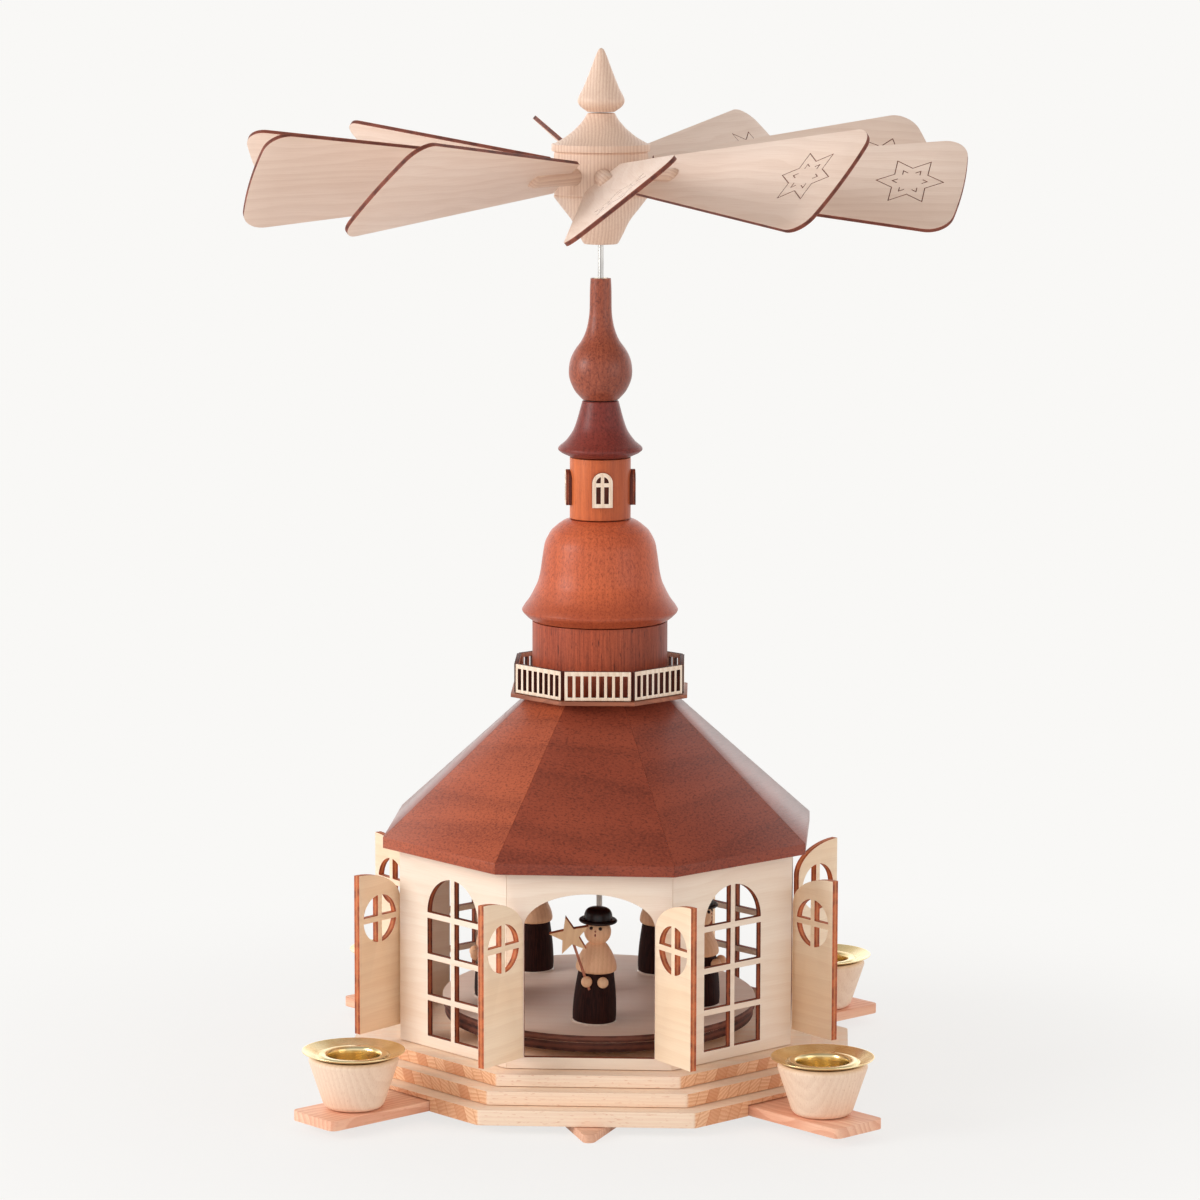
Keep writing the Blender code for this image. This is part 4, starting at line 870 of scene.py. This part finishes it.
def cup_profile(foot, top):
    """A tapering cup with eased edges, a dished top and its candle bore."""
    dish = top - CUP_DISH
    floor = foot + CUP_FLOOR
    points = [(0.0, foot), (CUP_FOOT_RADIUS - CUP_EDGE, foot), (CUP_FOOT_RADIUS, foot + CUP_EDGE)]
    points += [(CUP_TOP_RADIUS, top - CUP_EDGE), (CUP_TOP_RADIUS - CUP_EDGE, top)]
    points += [(PAN_RING_RADIUS, dish), (CUP_BORE, dish), (CUP_BORE, floor), (0.0, floor)]
    return eased(points, 0.8 * MM)


def pan_profile(foot, top):
    """A pressed brass pan: a socket with a flared mouth, a raised ring round it and a shallow rim."""
    low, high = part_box("candle_pan_front_left")
    reach = (high.x - low.x) / 2.0
    seat = levels("candle_cup_front_left")[1] - CUP_DISH + GLUE_LINE
    inner = CANDLE_HOLE_RADIUS
    outer = inner + PAN_SHEET
    floor = foot + PAN_SHEET
    crest = seat + PAN_SHEET + PAN_RING_HEIGHT
    under = [(0.0, foot), (outer, foot), (outer, seat - 3.0 * MM), (outer + 0.3 * MM, seat)]
    under += [(PAN_RING_RADIUS + 0.3 * MM, seat), (reach, top - PAN_SHEET)]
    above = [(reach, top), (PAN_RING_RADIUS + 0.5 * MM, seat + PAN_SHEET)]
    above.append((PAN_RING_RADIUS - 0.4 * MM, crest))
    mouth = curve_through([(inner + out * MM, crest - drop * MM) for out, drop in PAN_MOUTH])
    return eased([*under, *above, *mouth, (inner, floor), (0.0, floor)], 0.45 * MM)


def make_candle_holders():
    """Four cups with their brass pans."""
    for index, corner in enumerate(CORNERS):
        place = placed(facing(2 * index + 1), CUP_PLACE, 0.0)
        for part, profile, slot, look in (
            ("cup_", cup_profile, "light_beech", "cup_beech"),
            ("pan_", pan_profile, "brass", "brass"),
        ):
            node = "candle_" + part + corner
            dress(part + corner, turned(profile(*levels(node))), "house", look, node, place)


def window_panes():
    """The panes of an arched window, left and right of its middle bar."""
    spring = SILL_HEIGHT + OPENING_HEIGHT - WINDOW_RISE
    half_bar = WINDOW_BAR / 2.0
    pitch = (spring - SILL_HEIGHT) / WINDOW_ROWS
    panes = []
    for row in range(WINDOW_ROWS):
        low = SILL_HEIGHT + row * pitch
        high = low + pitch - WINDOW_BAR
        panes.append(rectangle(half_bar, WINDOW_HALF_WIDTH, low, high))
        panes.append(rectangle(-WINDOW_HALF_WIDTH, -half_bar, low, high))
    reach = degrees(acos(half_bar / WINDOW_HALF_WIDTH))
    top = arc((0.0, spring), WINDOW_HALF_WIDTH, 0.0, reach, ARCH_STEPS // 2, WINDOW_RISE)
    quarter = [(half_bar, spring), *top]
    return [*panes, quarter, [(-x, z) for x, z in quarter]]


def doorway_hole():
    """The doorway as cut in its panel."""
    half = DOORWAY_HALF_WIDTH
    spring = SILL_HEIGHT + OPENING_HEIGHT - DOORWAY_RISE
    top = arc((0.0, spring), half, 0.0, 180.0, ARCH_STEPS, DOORWAY_RISE)
    return [(-half, SILL_HEIGHT), (half, SILL_HEIGHT), *top]


def make_wall(name, index, holes):
    """One mitred wall panel with dark cut edges round its openings."""
    low, high = levels(name)
    slope = tan(pi / OCTAGON)
    half = WALL_APOTHEM * slope - 0.06 * MM
    bm = upright(rectangle(-half, half, 0.0, high - low), PLYWOOD, holes, edge=CUT_EDGE)
    mark_cut_edges(bm, 1)
    rim = half - 0.5 * MM
    for face in bm.faces:
        if max(abs(vert.co.x) for vert in face.verts) > rim:
            face.material_index = 0
    for vert in bm.verts:
        if abs(vert.co.x) > rim:
            vert.co.x -= copysign(vert.co.y * slope, vert.co.x)
    place = placed(facing(index), WALL_APOTHEM, low)
    dress(name + "_panel", bm, "house", "wall_maple wall_edge", name, place, LEVEL)


def make_house():
    """Four walls with doorways and four with barred windows between them."""
    for k in range(OCTAGON // 2):
        make_wall("doorway_wall_" + SIDES[k], 2 * k, [doorway_hole()])
        make_wall("window_wall_" + CORNERS[k], 2 * k + 1, window_panes())


def leaf_loops(hand):
    """The outline of a door leaf and the four panes of its round window."""
    half_bar = WINDOW_BAR / 2.0
    edge = degrees(asin(half_bar / LEAF_WINDOW_RADIUS))
    pane = [(half_bar, half_bar), *arc((0.0, 0.0), LEAF_WINDOW_RADIUS, edge, 90.0 - edge, ARC_STEPS)]
    spring = OPENING_HEIGHT - DOORWAY_RISE - LEAF_GAP
    top = arc((0.0, spring), LEAF_WIDTH, 0.0, 90.0, ARCH_STEPS // 2, DOORWAY_RISE - LEAF_GAP)
    loops = [[(0.0, 0.0), (LEAF_WIDTH, 0.0), *top]]
    for across, up in ((1, 1), (-1, 1), (-1, -1), (1, -1)):
        loops.append([(LEAF_WIDTH / 2.0 + across * x, LEAF_WINDOW_HEIGHT + up * z) for x, z in pane])
    return [[(hand * (x - LEAF_WIDTH), z) for x, z in loop] for loop in loops]


def make_doors():
    """Two leaves at each doorway, at their photographed angles. Hand is 1 for the right-hand one."""
    lift = LEAF_THICKNESS * sin(radians(LEAF_WIDEST - 90.0)) + LEAF_CLEARANCE
    for k, side in enumerate(SIDES):
        for hand, word, opening in zip((1, -1), ("right", "left"), LEAF_ANGLES[k]):
            name = "door_leaf_{}_{}".format(side, word)
            outline, *panes = leaf_loops(hand)
            bm = upright(outline, LEAF_THICKNESS, panes, edge=CUT_EDGE)
            moved(bm, shift(0.0, -LEAF_THICKNESS, 0.0))
            mark_cut_edges(bm, 1)
            doorway = placed(facing(2 * k), WALL_APOTHEM + lift, levels(name)[0])
            hinge = shift(hand * (DOORWAY_HALF_WIDTH + LEAF_SET_OUT), 0.0, 0.0)
            place = doorway @ hinge @ spin(hand * opening)
            dress(name + "_panel", bm, name, "leaf_maple leaf_edge", name, place, LEVEL)


def make_roof():
    """Eight mahogany segments glued together into a hollow roof."""
    foot, top = levels("roof")
    half = tan(pi / OCTAGON)
    outside = [(EAVE_APOTHEM, foot), (EAVE_APOTHEM, foot + EAVE_DEPTH), (ROOF_TOP_APOTHEM, top)]
    inside = [(apothem - ROOF_WALL, height) for apothem, height in reversed(outside)]
    section = [*outside, *inside]
    slope = atan2(EAVE_APOTHEM - ROOF_TOP_APOTHEM, top - foot - EAVE_DEPTH)
    for index in range(OCTAGON):
        bm = bmesh.new()
        ends = []
        for side in (-1, 1):
            ends.append([bm.verts.new((side * (out * half - MARGIN), -out, z)) for out, z in section])
        for k in range(len(section)):
            bm.faces.new((ends[0][k - 1], ends[0][k], ends[1][k], ends[1][k - 1]))
        bm.faces.new(ends[0])
        bm.faces.new(ends[1])
        bmesh.ops.recalc_face_normals(bm, faces=bm.faces)
        ease_edges(bm, 0.15 * MM, least=30.0)
        place = spin(facing(index) + 90.0 + ROOF_TURN)
        tilt = spin(draws.uniform(-14.0, 14.0), "Y") @ spin(degrees(slope), "X")
        # The lit copy paints the key lamp's light on the front-left segment and on the one opposite it.
        look = "roof_mahogany_painted_lit" if index % 4 == 3 else "roof_mahogany"
        dress("roof_segment_{}".format(index + 1), bm, "house", look, "roof", place, LEVEL, tilt)


def railing_gaps():
    """The slots between the balusters of one balustrade panel, by their left and right sides."""
    first = END_POST - RAILING_HALF_WIDTH
    gap = (-2.0 * first - BALUSTER_COUNT * BALUSTER) / (BALUSTER_COUNT + 1)
    starts = [first + n * (gap + BALUSTER) for n in range(BALUSTER_COUNT + 1)]
    return [(start, start + gap) for start in starts]


def make_gallery():
    """The gallery plate and the eight pierced panels on it."""
    plate = slab(octagon(GALLERY_APOTHEM), *levels("gallery_plate"), [circle(TOWER_PASSAGE, SMALL_SIDES)],
                 edge=0.15 * MM)
    dress("gallery_board", plate, "house", "gallery_brown", "gallery_plate",
          spin(GALLERY_TURN), LENGTHWISE)
    low, high = levels("balustrade")
    holes = [rectangle(*gap, BOTTOM_RAIL, high - low - TOP_RAIL) for gap in railing_gaps()]
    outline = rectangle(-RAILING_HALF_WIDTH, RAILING_HALF_WIDTH, 0.0, high - low)
    for index in range(OCTAGON):
        panel = upright(outline, RAILING_THICKNESS, holes, edge=0.06 * MM)
        mark_cut_edges(panel, 1)
        place = placed(facing(index) + GALLERY_TURN, RAILING_APOTHEM, low)
        dress("balustrade_panel_{}".format(index + 1), panel, "house", "railing_maple rail_edge",
              "balustrade", place)


def make_tower_windows():
    """Pale window frames on dark plates, glued to the upper drum. The plates' dark colour is painted shade
    seen through the openings.
    """
    foot = levels("upper_drum")[0] + TOWER_WINDOW_LIFT
    width, height = TOWER_WINDOW_SIZE
    half = width / 2.0
    spring = height - half
    outline = [(-half, 0.0), (half, 0.0), *arc((0.0, spring), half, 0.0, 180.0, 24)]
    inner = half - TOWER_WINDOW_FRAME
    bar = TOWER_WINDOW_BAR / 2.0
    pane_top = [(bar, spring), *arc((0.0, spring), inner, 0.0, degrees(acos(bar / inner)), 12)]
    panes = [rectangle(bar, inner, TOWER_WINDOW_FRAME, spring - TOWER_WINDOW_CROSSBAR), pane_top]
    panes += [[(-x, z) for x, z in pane] for pane in panes]
    thickness, plate_thickness = TOWER_WINDOW_THICKNESS
    for index in range(TOWER_WINDOWS):
        angle = TOWER_WINDOW_TURN + 360.0 * index / TOWER_WINDOWS
        frame_panel = upright(outline, thickness, panes, edge=0.06 * MM)
        mark_cut_edges(frame_panel, 1)
        dress("tower_window_frame_{}".format(index + 1), frame_panel, "house",
              "railing_maple wall_edge", place=placed(angle, TOWER_WINDOW_OUT, foot))
        plate = upright(outline, plate_thickness, edge=0.05 * MM)
        place = placed(angle, TOWER_WINDOW_OUT - thickness - MARGIN, foot)
        dress("tower_window_plate_{}".format(index + 1), plate, "house", "painted_shade_pane",
              place=place)


def make_tower():
    """The turned pieces of the tower and its two bearings."""
    for node, slot, look in (
        ("lower_drum", "mahogany", "drum_mahogany"),
        ("upper_drum", "padauk", "padauk"),
    ):
        low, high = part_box(node)
        radius = (high.x - low.x) / 2.0
        drum = eased(bored([(radius, low.z), (radius, high.z)], TOWER_PASSAGE), 0.25 * MM)
        dress(node + "_turned", turned(drum, closed=True), "house", look, node)
    for node, lip, side, look in (
        ("bell_dome", BELL_LIP, BELL_SIDE, "bell_mahogany"),
        ("lantern_roof", LANTERN_ROOF_LIP, LANTERN_ROOF_SIDE, "lantern_mahogany"),
    ):
        profile = bored(in_metres([*lip, *curve_through(side)], levels(node)[0]), TOWER_PASSAGE)
        shape = turned(eased(profile, 0.35 * MM), closed=True)
        dress(node + "_turned", shape, "house", look, node)
    foot, top = levels("spire")
    bush_foot, bush_top = levels("upper_bush")
    shelf = bush_foot - 0.3 * MM
    inside = [(SPIRE_BORE, top), (SPIRE_BORE, shelf), (TOWER_PASSAGE, shelf), (TOWER_PASSAGE, foot)]
    spire = [*in_metres(curve_through(SPIRE_SIDE), foot), *inside]
    dress("spire_turned", turned(spire, closed=True), "house", "spire_mahogany", "spire")
    bush = eased(bored([(BUSH_RADIUS, bush_foot), (BUSH_RADIUS, bush_top)], BUSH_BORE), 0.2 * MM)
    dress("bush_turned", turned(bush, SMALL_SIDES, True), "house", "brass", "upper_bush")
    low, high = levels("lower_bearing")
    well = high - BEARING_DEPTH
    cup = [(0.0, low), (BEARING_RADIUS, low), (BEARING_RADIUS, high)]
    cup += [(BEARING_BORE, high), (BEARING_BORE, well), (0.0, well)]
    cup = turned(eased(cup, 0.2 * MM), SMALL_SIDES)
    dress("bearing_cup", cup, "house", "brass", "lower_bearing")


def disc_lean():
    """The lean of the turntable and of what stands on it, about the shaft at the disc's top."""
    hinge = Vector((*polar(1.0, DISC_LEAN_TOWARDS + 90.0), 0.0))
    return shift(0.0, 0.0, DISC_TOP) @ spin(DISC_LEAN, hinge) @ shift(0.0, 0.0, -DISC_TOP)


def make_rotor_core():
    """The shaft, the turntable and its backing disc."""
    low, high = levels("shaft")
    rod_side = [(0.0, low), (SHAFT_RADIUS, low + SHAFT_POINT), (SHAFT_RADIUS, high), (0.0, high)]
    dress("shaft_rod", turned(eased(rod_side, 0.15 * MM), SMALL_SIDES), "rotor", "steel", "shaft")
    backing_top = DISC_TOP - DISC_THICKNESS - GLUE_LINE
    for node, radius, top, thickness, slot, edge in (
        ("turntable", DISC_RADIUS, DISC_TOP, DISC_THICKNESS, "maple", "disc_rim"),
        ("turntable_backing_disc", BACKING_RADIUS, backing_top, BACKING_THICKNESS, "brown_plywood",
         "disc_edge"),
    ):
        disc = slab(circle(radius, 2 * FINE_SIDES), -thickness, 0.0, [circle(DISC_BORE, 24)], edge=0.12 * MM)
        mark_cut_edges(disc, 2)
        place = disc_lean() @ shift(0.0, 0.0, top)
        dress(node + "_disc", disc, "rotor", "disc_maple " + edge, node, place, LENGTHWISE)


def ball(centre, radius, detail=3, stretch=(1.0, 1.0, 1.0), bm=None):
    """A small ball, which may be stretched or added to a mesh, with its size in millimetres."""
    bm = bm or bmesh.new()
    made = bmesh.ops.create_icosphere(bm, subdivisions=detail, radius=radius * MM)
    for vert in made["verts"]:
        vert.co = Vector(centre) * MM + Vector([c * s for c, s in zip(vert.co, stretch)])
    return bm


def rod(start, end, radius, sides=16):
    """A round rod between two points, with its size in millimetres."""
    way = (Vector(end) - Vector(start)) * MM
    shape = [(0.0, 0.0), (radius * MM, 0.0), (radius * MM, way.length), (0.0, way.length)]
    turn = way.to_track_quat("Z", "Y").to_matrix().to_4x4()
    return moved(turned(eased(shape, 0.1 * MM), sides), shift(*Vector(start) * MM) @ turn)


def on_head(turn, lift):
    """A point on a figure's head at a turn from its front and a lift above its middle."""
    return Vector((0.0, 0.0, HEAD_CENTRE)) + HEAD_RADIUS * pointing(turn - 90.0, lift)


def held_star():
    """The star and its stick, which lean forward a little."""
    centre = Vector((STAR_CENTRE[0], STAR_OUT, STAR_CENTRE[1]))
    outline = star_points(STAR_RADIUS * MM, STAR_NOTCH_RADIUS * MM, 5, STAR_TURN)
    star = upright(outline, STAR_THICKNESS * MM, edge=0.08 * MM)
    mark_cut_edges(star, 1)
    moved(star, shift(*centre * MM) @ spin(STAR_LEAN, "X"))
    back = centre + Vector((0.0, STAR_THICKNESS + STICK_RADIUS, 0.0))
    hand = Vector((-HAND_PLACE[0], HAND_PLACE[1], HAND_PLACE[2]))
    low = hand + (hand - back) * (hand.z - STICK_FOOT) / (back.z - hand.z)
    return star, rod(low, back, STICK_RADIUS)


def make_figure(index):
    """One turned carol singer that faces away from the shaft. The first one leans and holds a star."""
    bearer = index == 0
    name = "figure_star_bearer" if bearer else "figure_singer_{}".format(index)
    turn, distance = FIGURE_PLACES[index]
    angle = facing(index, len(FIGURE_PLACES)) + turn
    place = disc_lean() @ placed(angle, distance, DISC_TOP + GLUE_LINE)
    place = place @ spin(FIGURE_LEAN if bearer else 0.0, "Y")
    face_turn = HEAD_TURN if bearer else 0.0

    def add(part, bm, look, tilt=Matrix()):
        dress(name + "_" + part, bm, "rotor", look, name, place, tilt=tilt)

    def turned_piece(points, ease):
        return turned(eased(in_metres(points), ease), FIGURE_SIDES)

    skirt = curve_through(SKIRT_SIDE)
    add("skirt", turned_piece([(0.0, 0.0), *skirt, (0.0, skirt[-1][1])], 0.5 * MM), "black_stain")
    cape = curve_through(CAPE_SIDE)
    cape = [(0.0, cape[0][1]), *cape, (0.0, cape[-1][1])]
    add("cape", turned(in_metres(cape), FIGURE_SIDES), "figure_maple")
    add("head", ball((0.0, 0.0, HEAD_CENTRE), HEAD_RADIUS, 5), "figure_maple")
    brim, low, high = HAT_BRIM
    hat = [(0.0, low), (brim - 0.5, low), (brim, (low + high) / 2.0), (brim - 0.5, high)]
    add("hat", turned_piece([*hat, *curve_through(HAT_CROWN)], 0.4 * MM), "black_lacquer")
    across, out, height = HAND_PLACE
    for side, word in ((-1, "left"), (1, "right")):
        hand = ball((side * across, out, height), HAND_RADIUS, 4)
        add("hand_" + word, hand, "figure_maple", spin(90.0, "X"))
    eyes = ball(on_head(face_turn - EYE_TURN, EYE_LIFT), EYE_RADIUS)
    ball(on_head(face_turn + EYE_TURN, EYE_LIFT), EYE_RADIUS, bm=eyes)
    add("eyes", eyes, "painted_eye")
    add("nose", ball(on_head(face_turn, NOSE_LIFT), NOSE_RADIUS), "pink_stick")
    mouth = ball(on_head(face_turn, MOUTH_LIFT), MOUTH_RADIUS, stretch=(0.7, 0.7, 1.2))
    add("mouth", mouth, "painted_mouth")
    foot = SKIRT_SIDE[0][0]
    bead = [(foot + out, height) for out, height in GLUE_BEAD]
    bead = turned(eased(in_metres(bead), 0.1 * MM), FIGURE_SIDES, closed=True)
    add("glue_bead", bead, "clear_glue")
    if bearer:
        star, stick = held_star()
        add("star", star, "star_maple leaf_edge")
        add("stick", stick, "pink_stick")


def blade_places():
    """For each blade, its place with the X axis pointing out of the hub along its peg."""
    places = []
    for k, (turn, pitch, rise) in enumerate(BLADE_SETTINGS):
        angle = BLADE_FIRST + 360.0 * k / len(BLADE_SETTINGS) + turn
        places.append(shift(0.0, 0.0, PEG_HEIGHT) @ spin(angle) @ spin(-rise, "Y") @ spin(pitch, "X"))
    return places


def make_hub():
    """The hub with its peg holes, and the finial."""
    foot, top = levels("hub")
    side = curve_through(HUB_FLARE)
    for groove in HUB_GROOVES:
        side += [(HUB_BODY, groove - GROOVE_HALF_WIDTH), (HUB_BODY - GROOVE_DEPTH, groove)]
        side.append((HUB_BODY, groove + GROOVE_HALF_WIDTH))
    flange, flange_low, flange_high = FLANGE
    side += [(flange, flange_low), (flange, flange_high), *curve_through(HUB_CONE)]
    bore_top = foot + HUB_BORE_DEPTH
    profile = [(HUB_BORE, foot), *in_metres(side, foot), (0.0, top), (0.0, bore_top), (HUB_BORE, bore_top)]
    hub = turned(eased(profile, 0.2 * MM), closed=True)
    hole = rectangle(0.0, PEG_RADIUS + PEG_GAP, PEG_INNER - 0.3 * MM, BLADE_ROOT)
    for place in blade_places():
        tool = moved(turned(hole, SMALL_SIDES), place @ spin(90.0, "Y"))
        hub = cut(hub, tool, "hub_beech")
    dress("hub_turned", hub, "rotor", "hub_beech", "hub")
    foot, top = levels("finial")
    profile = [(0.0, foot), *in_metres(curve_through(FINIAL_SIDE), foot), (0.0, top)]
    dress("finial_turned", turned(profile), "rotor", "hub_beech", "finial")


def blade_outline():
    """A fan with straight sides, an outer edge curved about the shaft and two rounded corners."""
    slope = (BLADE_WIDTH - BLADE_ROOT_WIDTH) / 2.0 / (BLADE_REACH - BLADE_ROOT)
    lean = atan(slope)
    outer = BLADE_REACH - BLADE_CORNER
    offset = BLADE_WIDTH / 2.0
    for _ in range(8):
        along = sqrt(outer * outer - offset * offset)
        side = BLADE_ROOT_WIDTH / 2.0 + slope * (along - BLADE_ROOT)
        offset = side - BLADE_CORNER / cos(lean)
    swing = degrees(atan2(offset, along))
    corner = arc((along, -offset), BLADE_CORNER, -degrees(lean) - 90.0, -swing, ARC_STEPS)
    rim = arc((0.0, 0.0), BLADE_REACH, -swing, swing, ARC_STEPS * 2)[1:-1]
    far_corner = [(x, -y) for x, y in reversed(corner)]
    root = [(BLADE_ROOT, BLADE_ROOT_WIDTH / 2.0), (BLADE_ROOT, -BLADE_ROOT_WIDTH / 2.0)]
    return [*root, *corner, *rim, *far_corner]


def engraved_line(start, end, top):
    """The tool for one engraved line between two points, with its ends drawn out a little."""
    way = (end - start).normalized() * ENGRAVED_WIDTH / 2.0
    side = Vector((-way.y, way.x))
    outline = [start - way - side, end + way - side, end + way + side, start - way + side]
    return slab(outline, top - ENGRAVED_DEPTH, top + ENGRAVED_DEPTH)


def star_lines():
    """The lines of the engraved star: a six-pointed outline and a small chevron in each point."""
    centre = Vector(STAR_PLACE)
    corners = [centre + Vector(point) for point in star_points(STAR_TIP, STAR_NOTCH, 6)]
    lines = [(corners[k - 1], corner) for k, corner in enumerate(corners)]
    for angle in range(0, 360, 60):
        tip = centre + Vector(polar(CHEVRON_PLACE, angle))
        lines += [(tip, tip + Vector(polar(CHEVRON_LEG, angle + lean))) for lean in (-150.0, 150.0)]
    return lines


def make_blades():
    """Ten fan blades with an engraved star each, and their pegs."""
    half = BLADE_THICKNESS / 2.0
    surfaces = "blade_maple blade_edge engraved"
    fan = slab(blade_outline(), -half, half, edge=0.08 * MM)
    mark_cut_edges(fan, 2)
    for start, end in star_lines():
        tool = engraved_line(start, end, half)
        for face in tool.faces:
            face.material_index = 2
        fan = cut(fan, tool, surfaces)
    peg_side = [(0.0, PEG_INNER), (PEG_RADIUS, PEG_INNER)]
    peg_side += [(share * PEG_RADIUS, PEG_OUTER - back * MM) for share, back in PEG_END]
    for number, place in enumerate(blade_places(), 1):
        name = "blade_{:02d}".format(number)
        dress(name + "_fan", fan.copy(), name, surfaces, name, place, LENGTHWISE)
        peg = moved(turned(eased(peg_side, 0.3 * MM), SMALL_SIDES), spin(90.0, "Y"))
        dress(name + "_peg", peg, name, "hub_beech", place=place, axes=LENGTHWISE)
    fan.free()


def make_world():
    """A soft world, brightest low behind the object, that shows as the plain backdrop."""
    world = bpy.data.worlds.new("studio")
    bpy.context.scene.world = world
    sky = Nodes(world)
    way = sky.add("TexCoord", output="Generated")
    height = sky.within(sky.part(way, "Z"), 0.15, 0.85, *AMBIENT_LEVELS)
    behind = sky.within(sky.part(way, "Y"), 0.1, 0.9, 1.0, BEHIND_LEVEL)
    soft = sky.add("Background", {"Color": srgb(AMBIENT), "Strength": sky.times(height, behind)})
    seen = sky.add("Background", {"Color": srgb(BACKDROP), "Strength": 1.0})
    blend = sky.add("MixShader", {0: sky.rays("Camera", "Transmission"), 1: soft, 2: seen})
    sky.feed(sky.tree.nodes["World Output"].inputs["Surface"], blend)


def make_lamps():
    """A low soft lamp from the left and a weak one from the right."""
    for name, azimuth, elevation, distance, size, power in LAMPS:
        lamp = bpy.data.lights.new(name, "AREA")
        lamp.shape = "DISK"
        lamp.size = size
        lamp.energy = power
        thing = add_object(name, lamp)
        out = pointing(azimuth, elevation)
        thing.location = Vector(LAMP_TARGET) + out * distance
        thing.rotation_euler = out.to_track_quat("Z", "Y").to_euler()


def make_floor():
    """A pale floor that turns into the backdrop away from the object."""
    bm = bmesh.new()
    bmesh.ops.create_circle(bm, cap_ends=True, segments=128, radius=FLOOR_REACH)
    mesh = bpy.data.meshes.new("floor")
    bm.to_mesh(mesh)
    bm.free()
    look = Look("floor", 0.9, shine=0.1)
    mesh.materials.append(look.material)
    look.set_shader({"Base Color": srgb(FLOOR_COLOUR)})
    fade = look.times(look.within(look.reach(look.place()), *FLOOR_FADE), 1.0 - FLOOR_LIFT)
    share = look.times(look.sum(fade, FLOOR_LIFT), look.rays("Camera", "Glossy"))
    glow = look.add("Emission", {"Color": srgb(BACKDROP), "Strength": 1.0})
    blend = look.add("MixShader", {0: share, 1: look.shader.outputs[0], 2: glow})
    look.feed(look.tree.nodes["Material Output"].inputs["Surface"], blend)
    floor = add_object("floor", mesh)
    floor.location.z = -0.05 * MM


def make_camera():
    """The camera at the photograph's place, aimed at the shaft's axis and tilted down."""
    camera = bpy.data.cameras.new("camera")
    camera.lens = CAMERA_LENS
    camera.clip_end = 50.0
    thing = add_object("camera", camera)
    level = Vector((-CAMERA_PLACE[0], -CAMERA_PLACE[1], 0.0)).normalized()
    pitch = radians(CAMERA_PITCH)
    ahead = level * cos(pitch) - Vector((0.0, 0.0, sin(pitch)))
    right = spin(-CAMERA_ROLL, ahead) @ Vector((level.y, -level.x, 0.0))
    axes = Matrix((right, right.cross(ahead), -ahead)).transposed()
    thing.matrix_world = shift(*Vector(CAMERA_PLACE) * MM) @ axes.to_4x4()
    bpy.context.scene.camera = thing


def main():
    """Dress the whole pyramid and light it."""
    make_looks()
    make_camera()
    make_world()
    make_lamps()
    make_floor()
    make_base()
    make_arms()
    make_candle_holders()
    make_house()
    make_doors()
    make_roof()
    make_gallery()
    make_tower()
    make_tower_windows()
    make_rotor_core()
    for index in range(len(FIGURE_PLACES)):
        make_figure(index)
    make_hub()
    make_blades()
    bpy.context.scene.view_settings.view_transform = "Standard"


main()
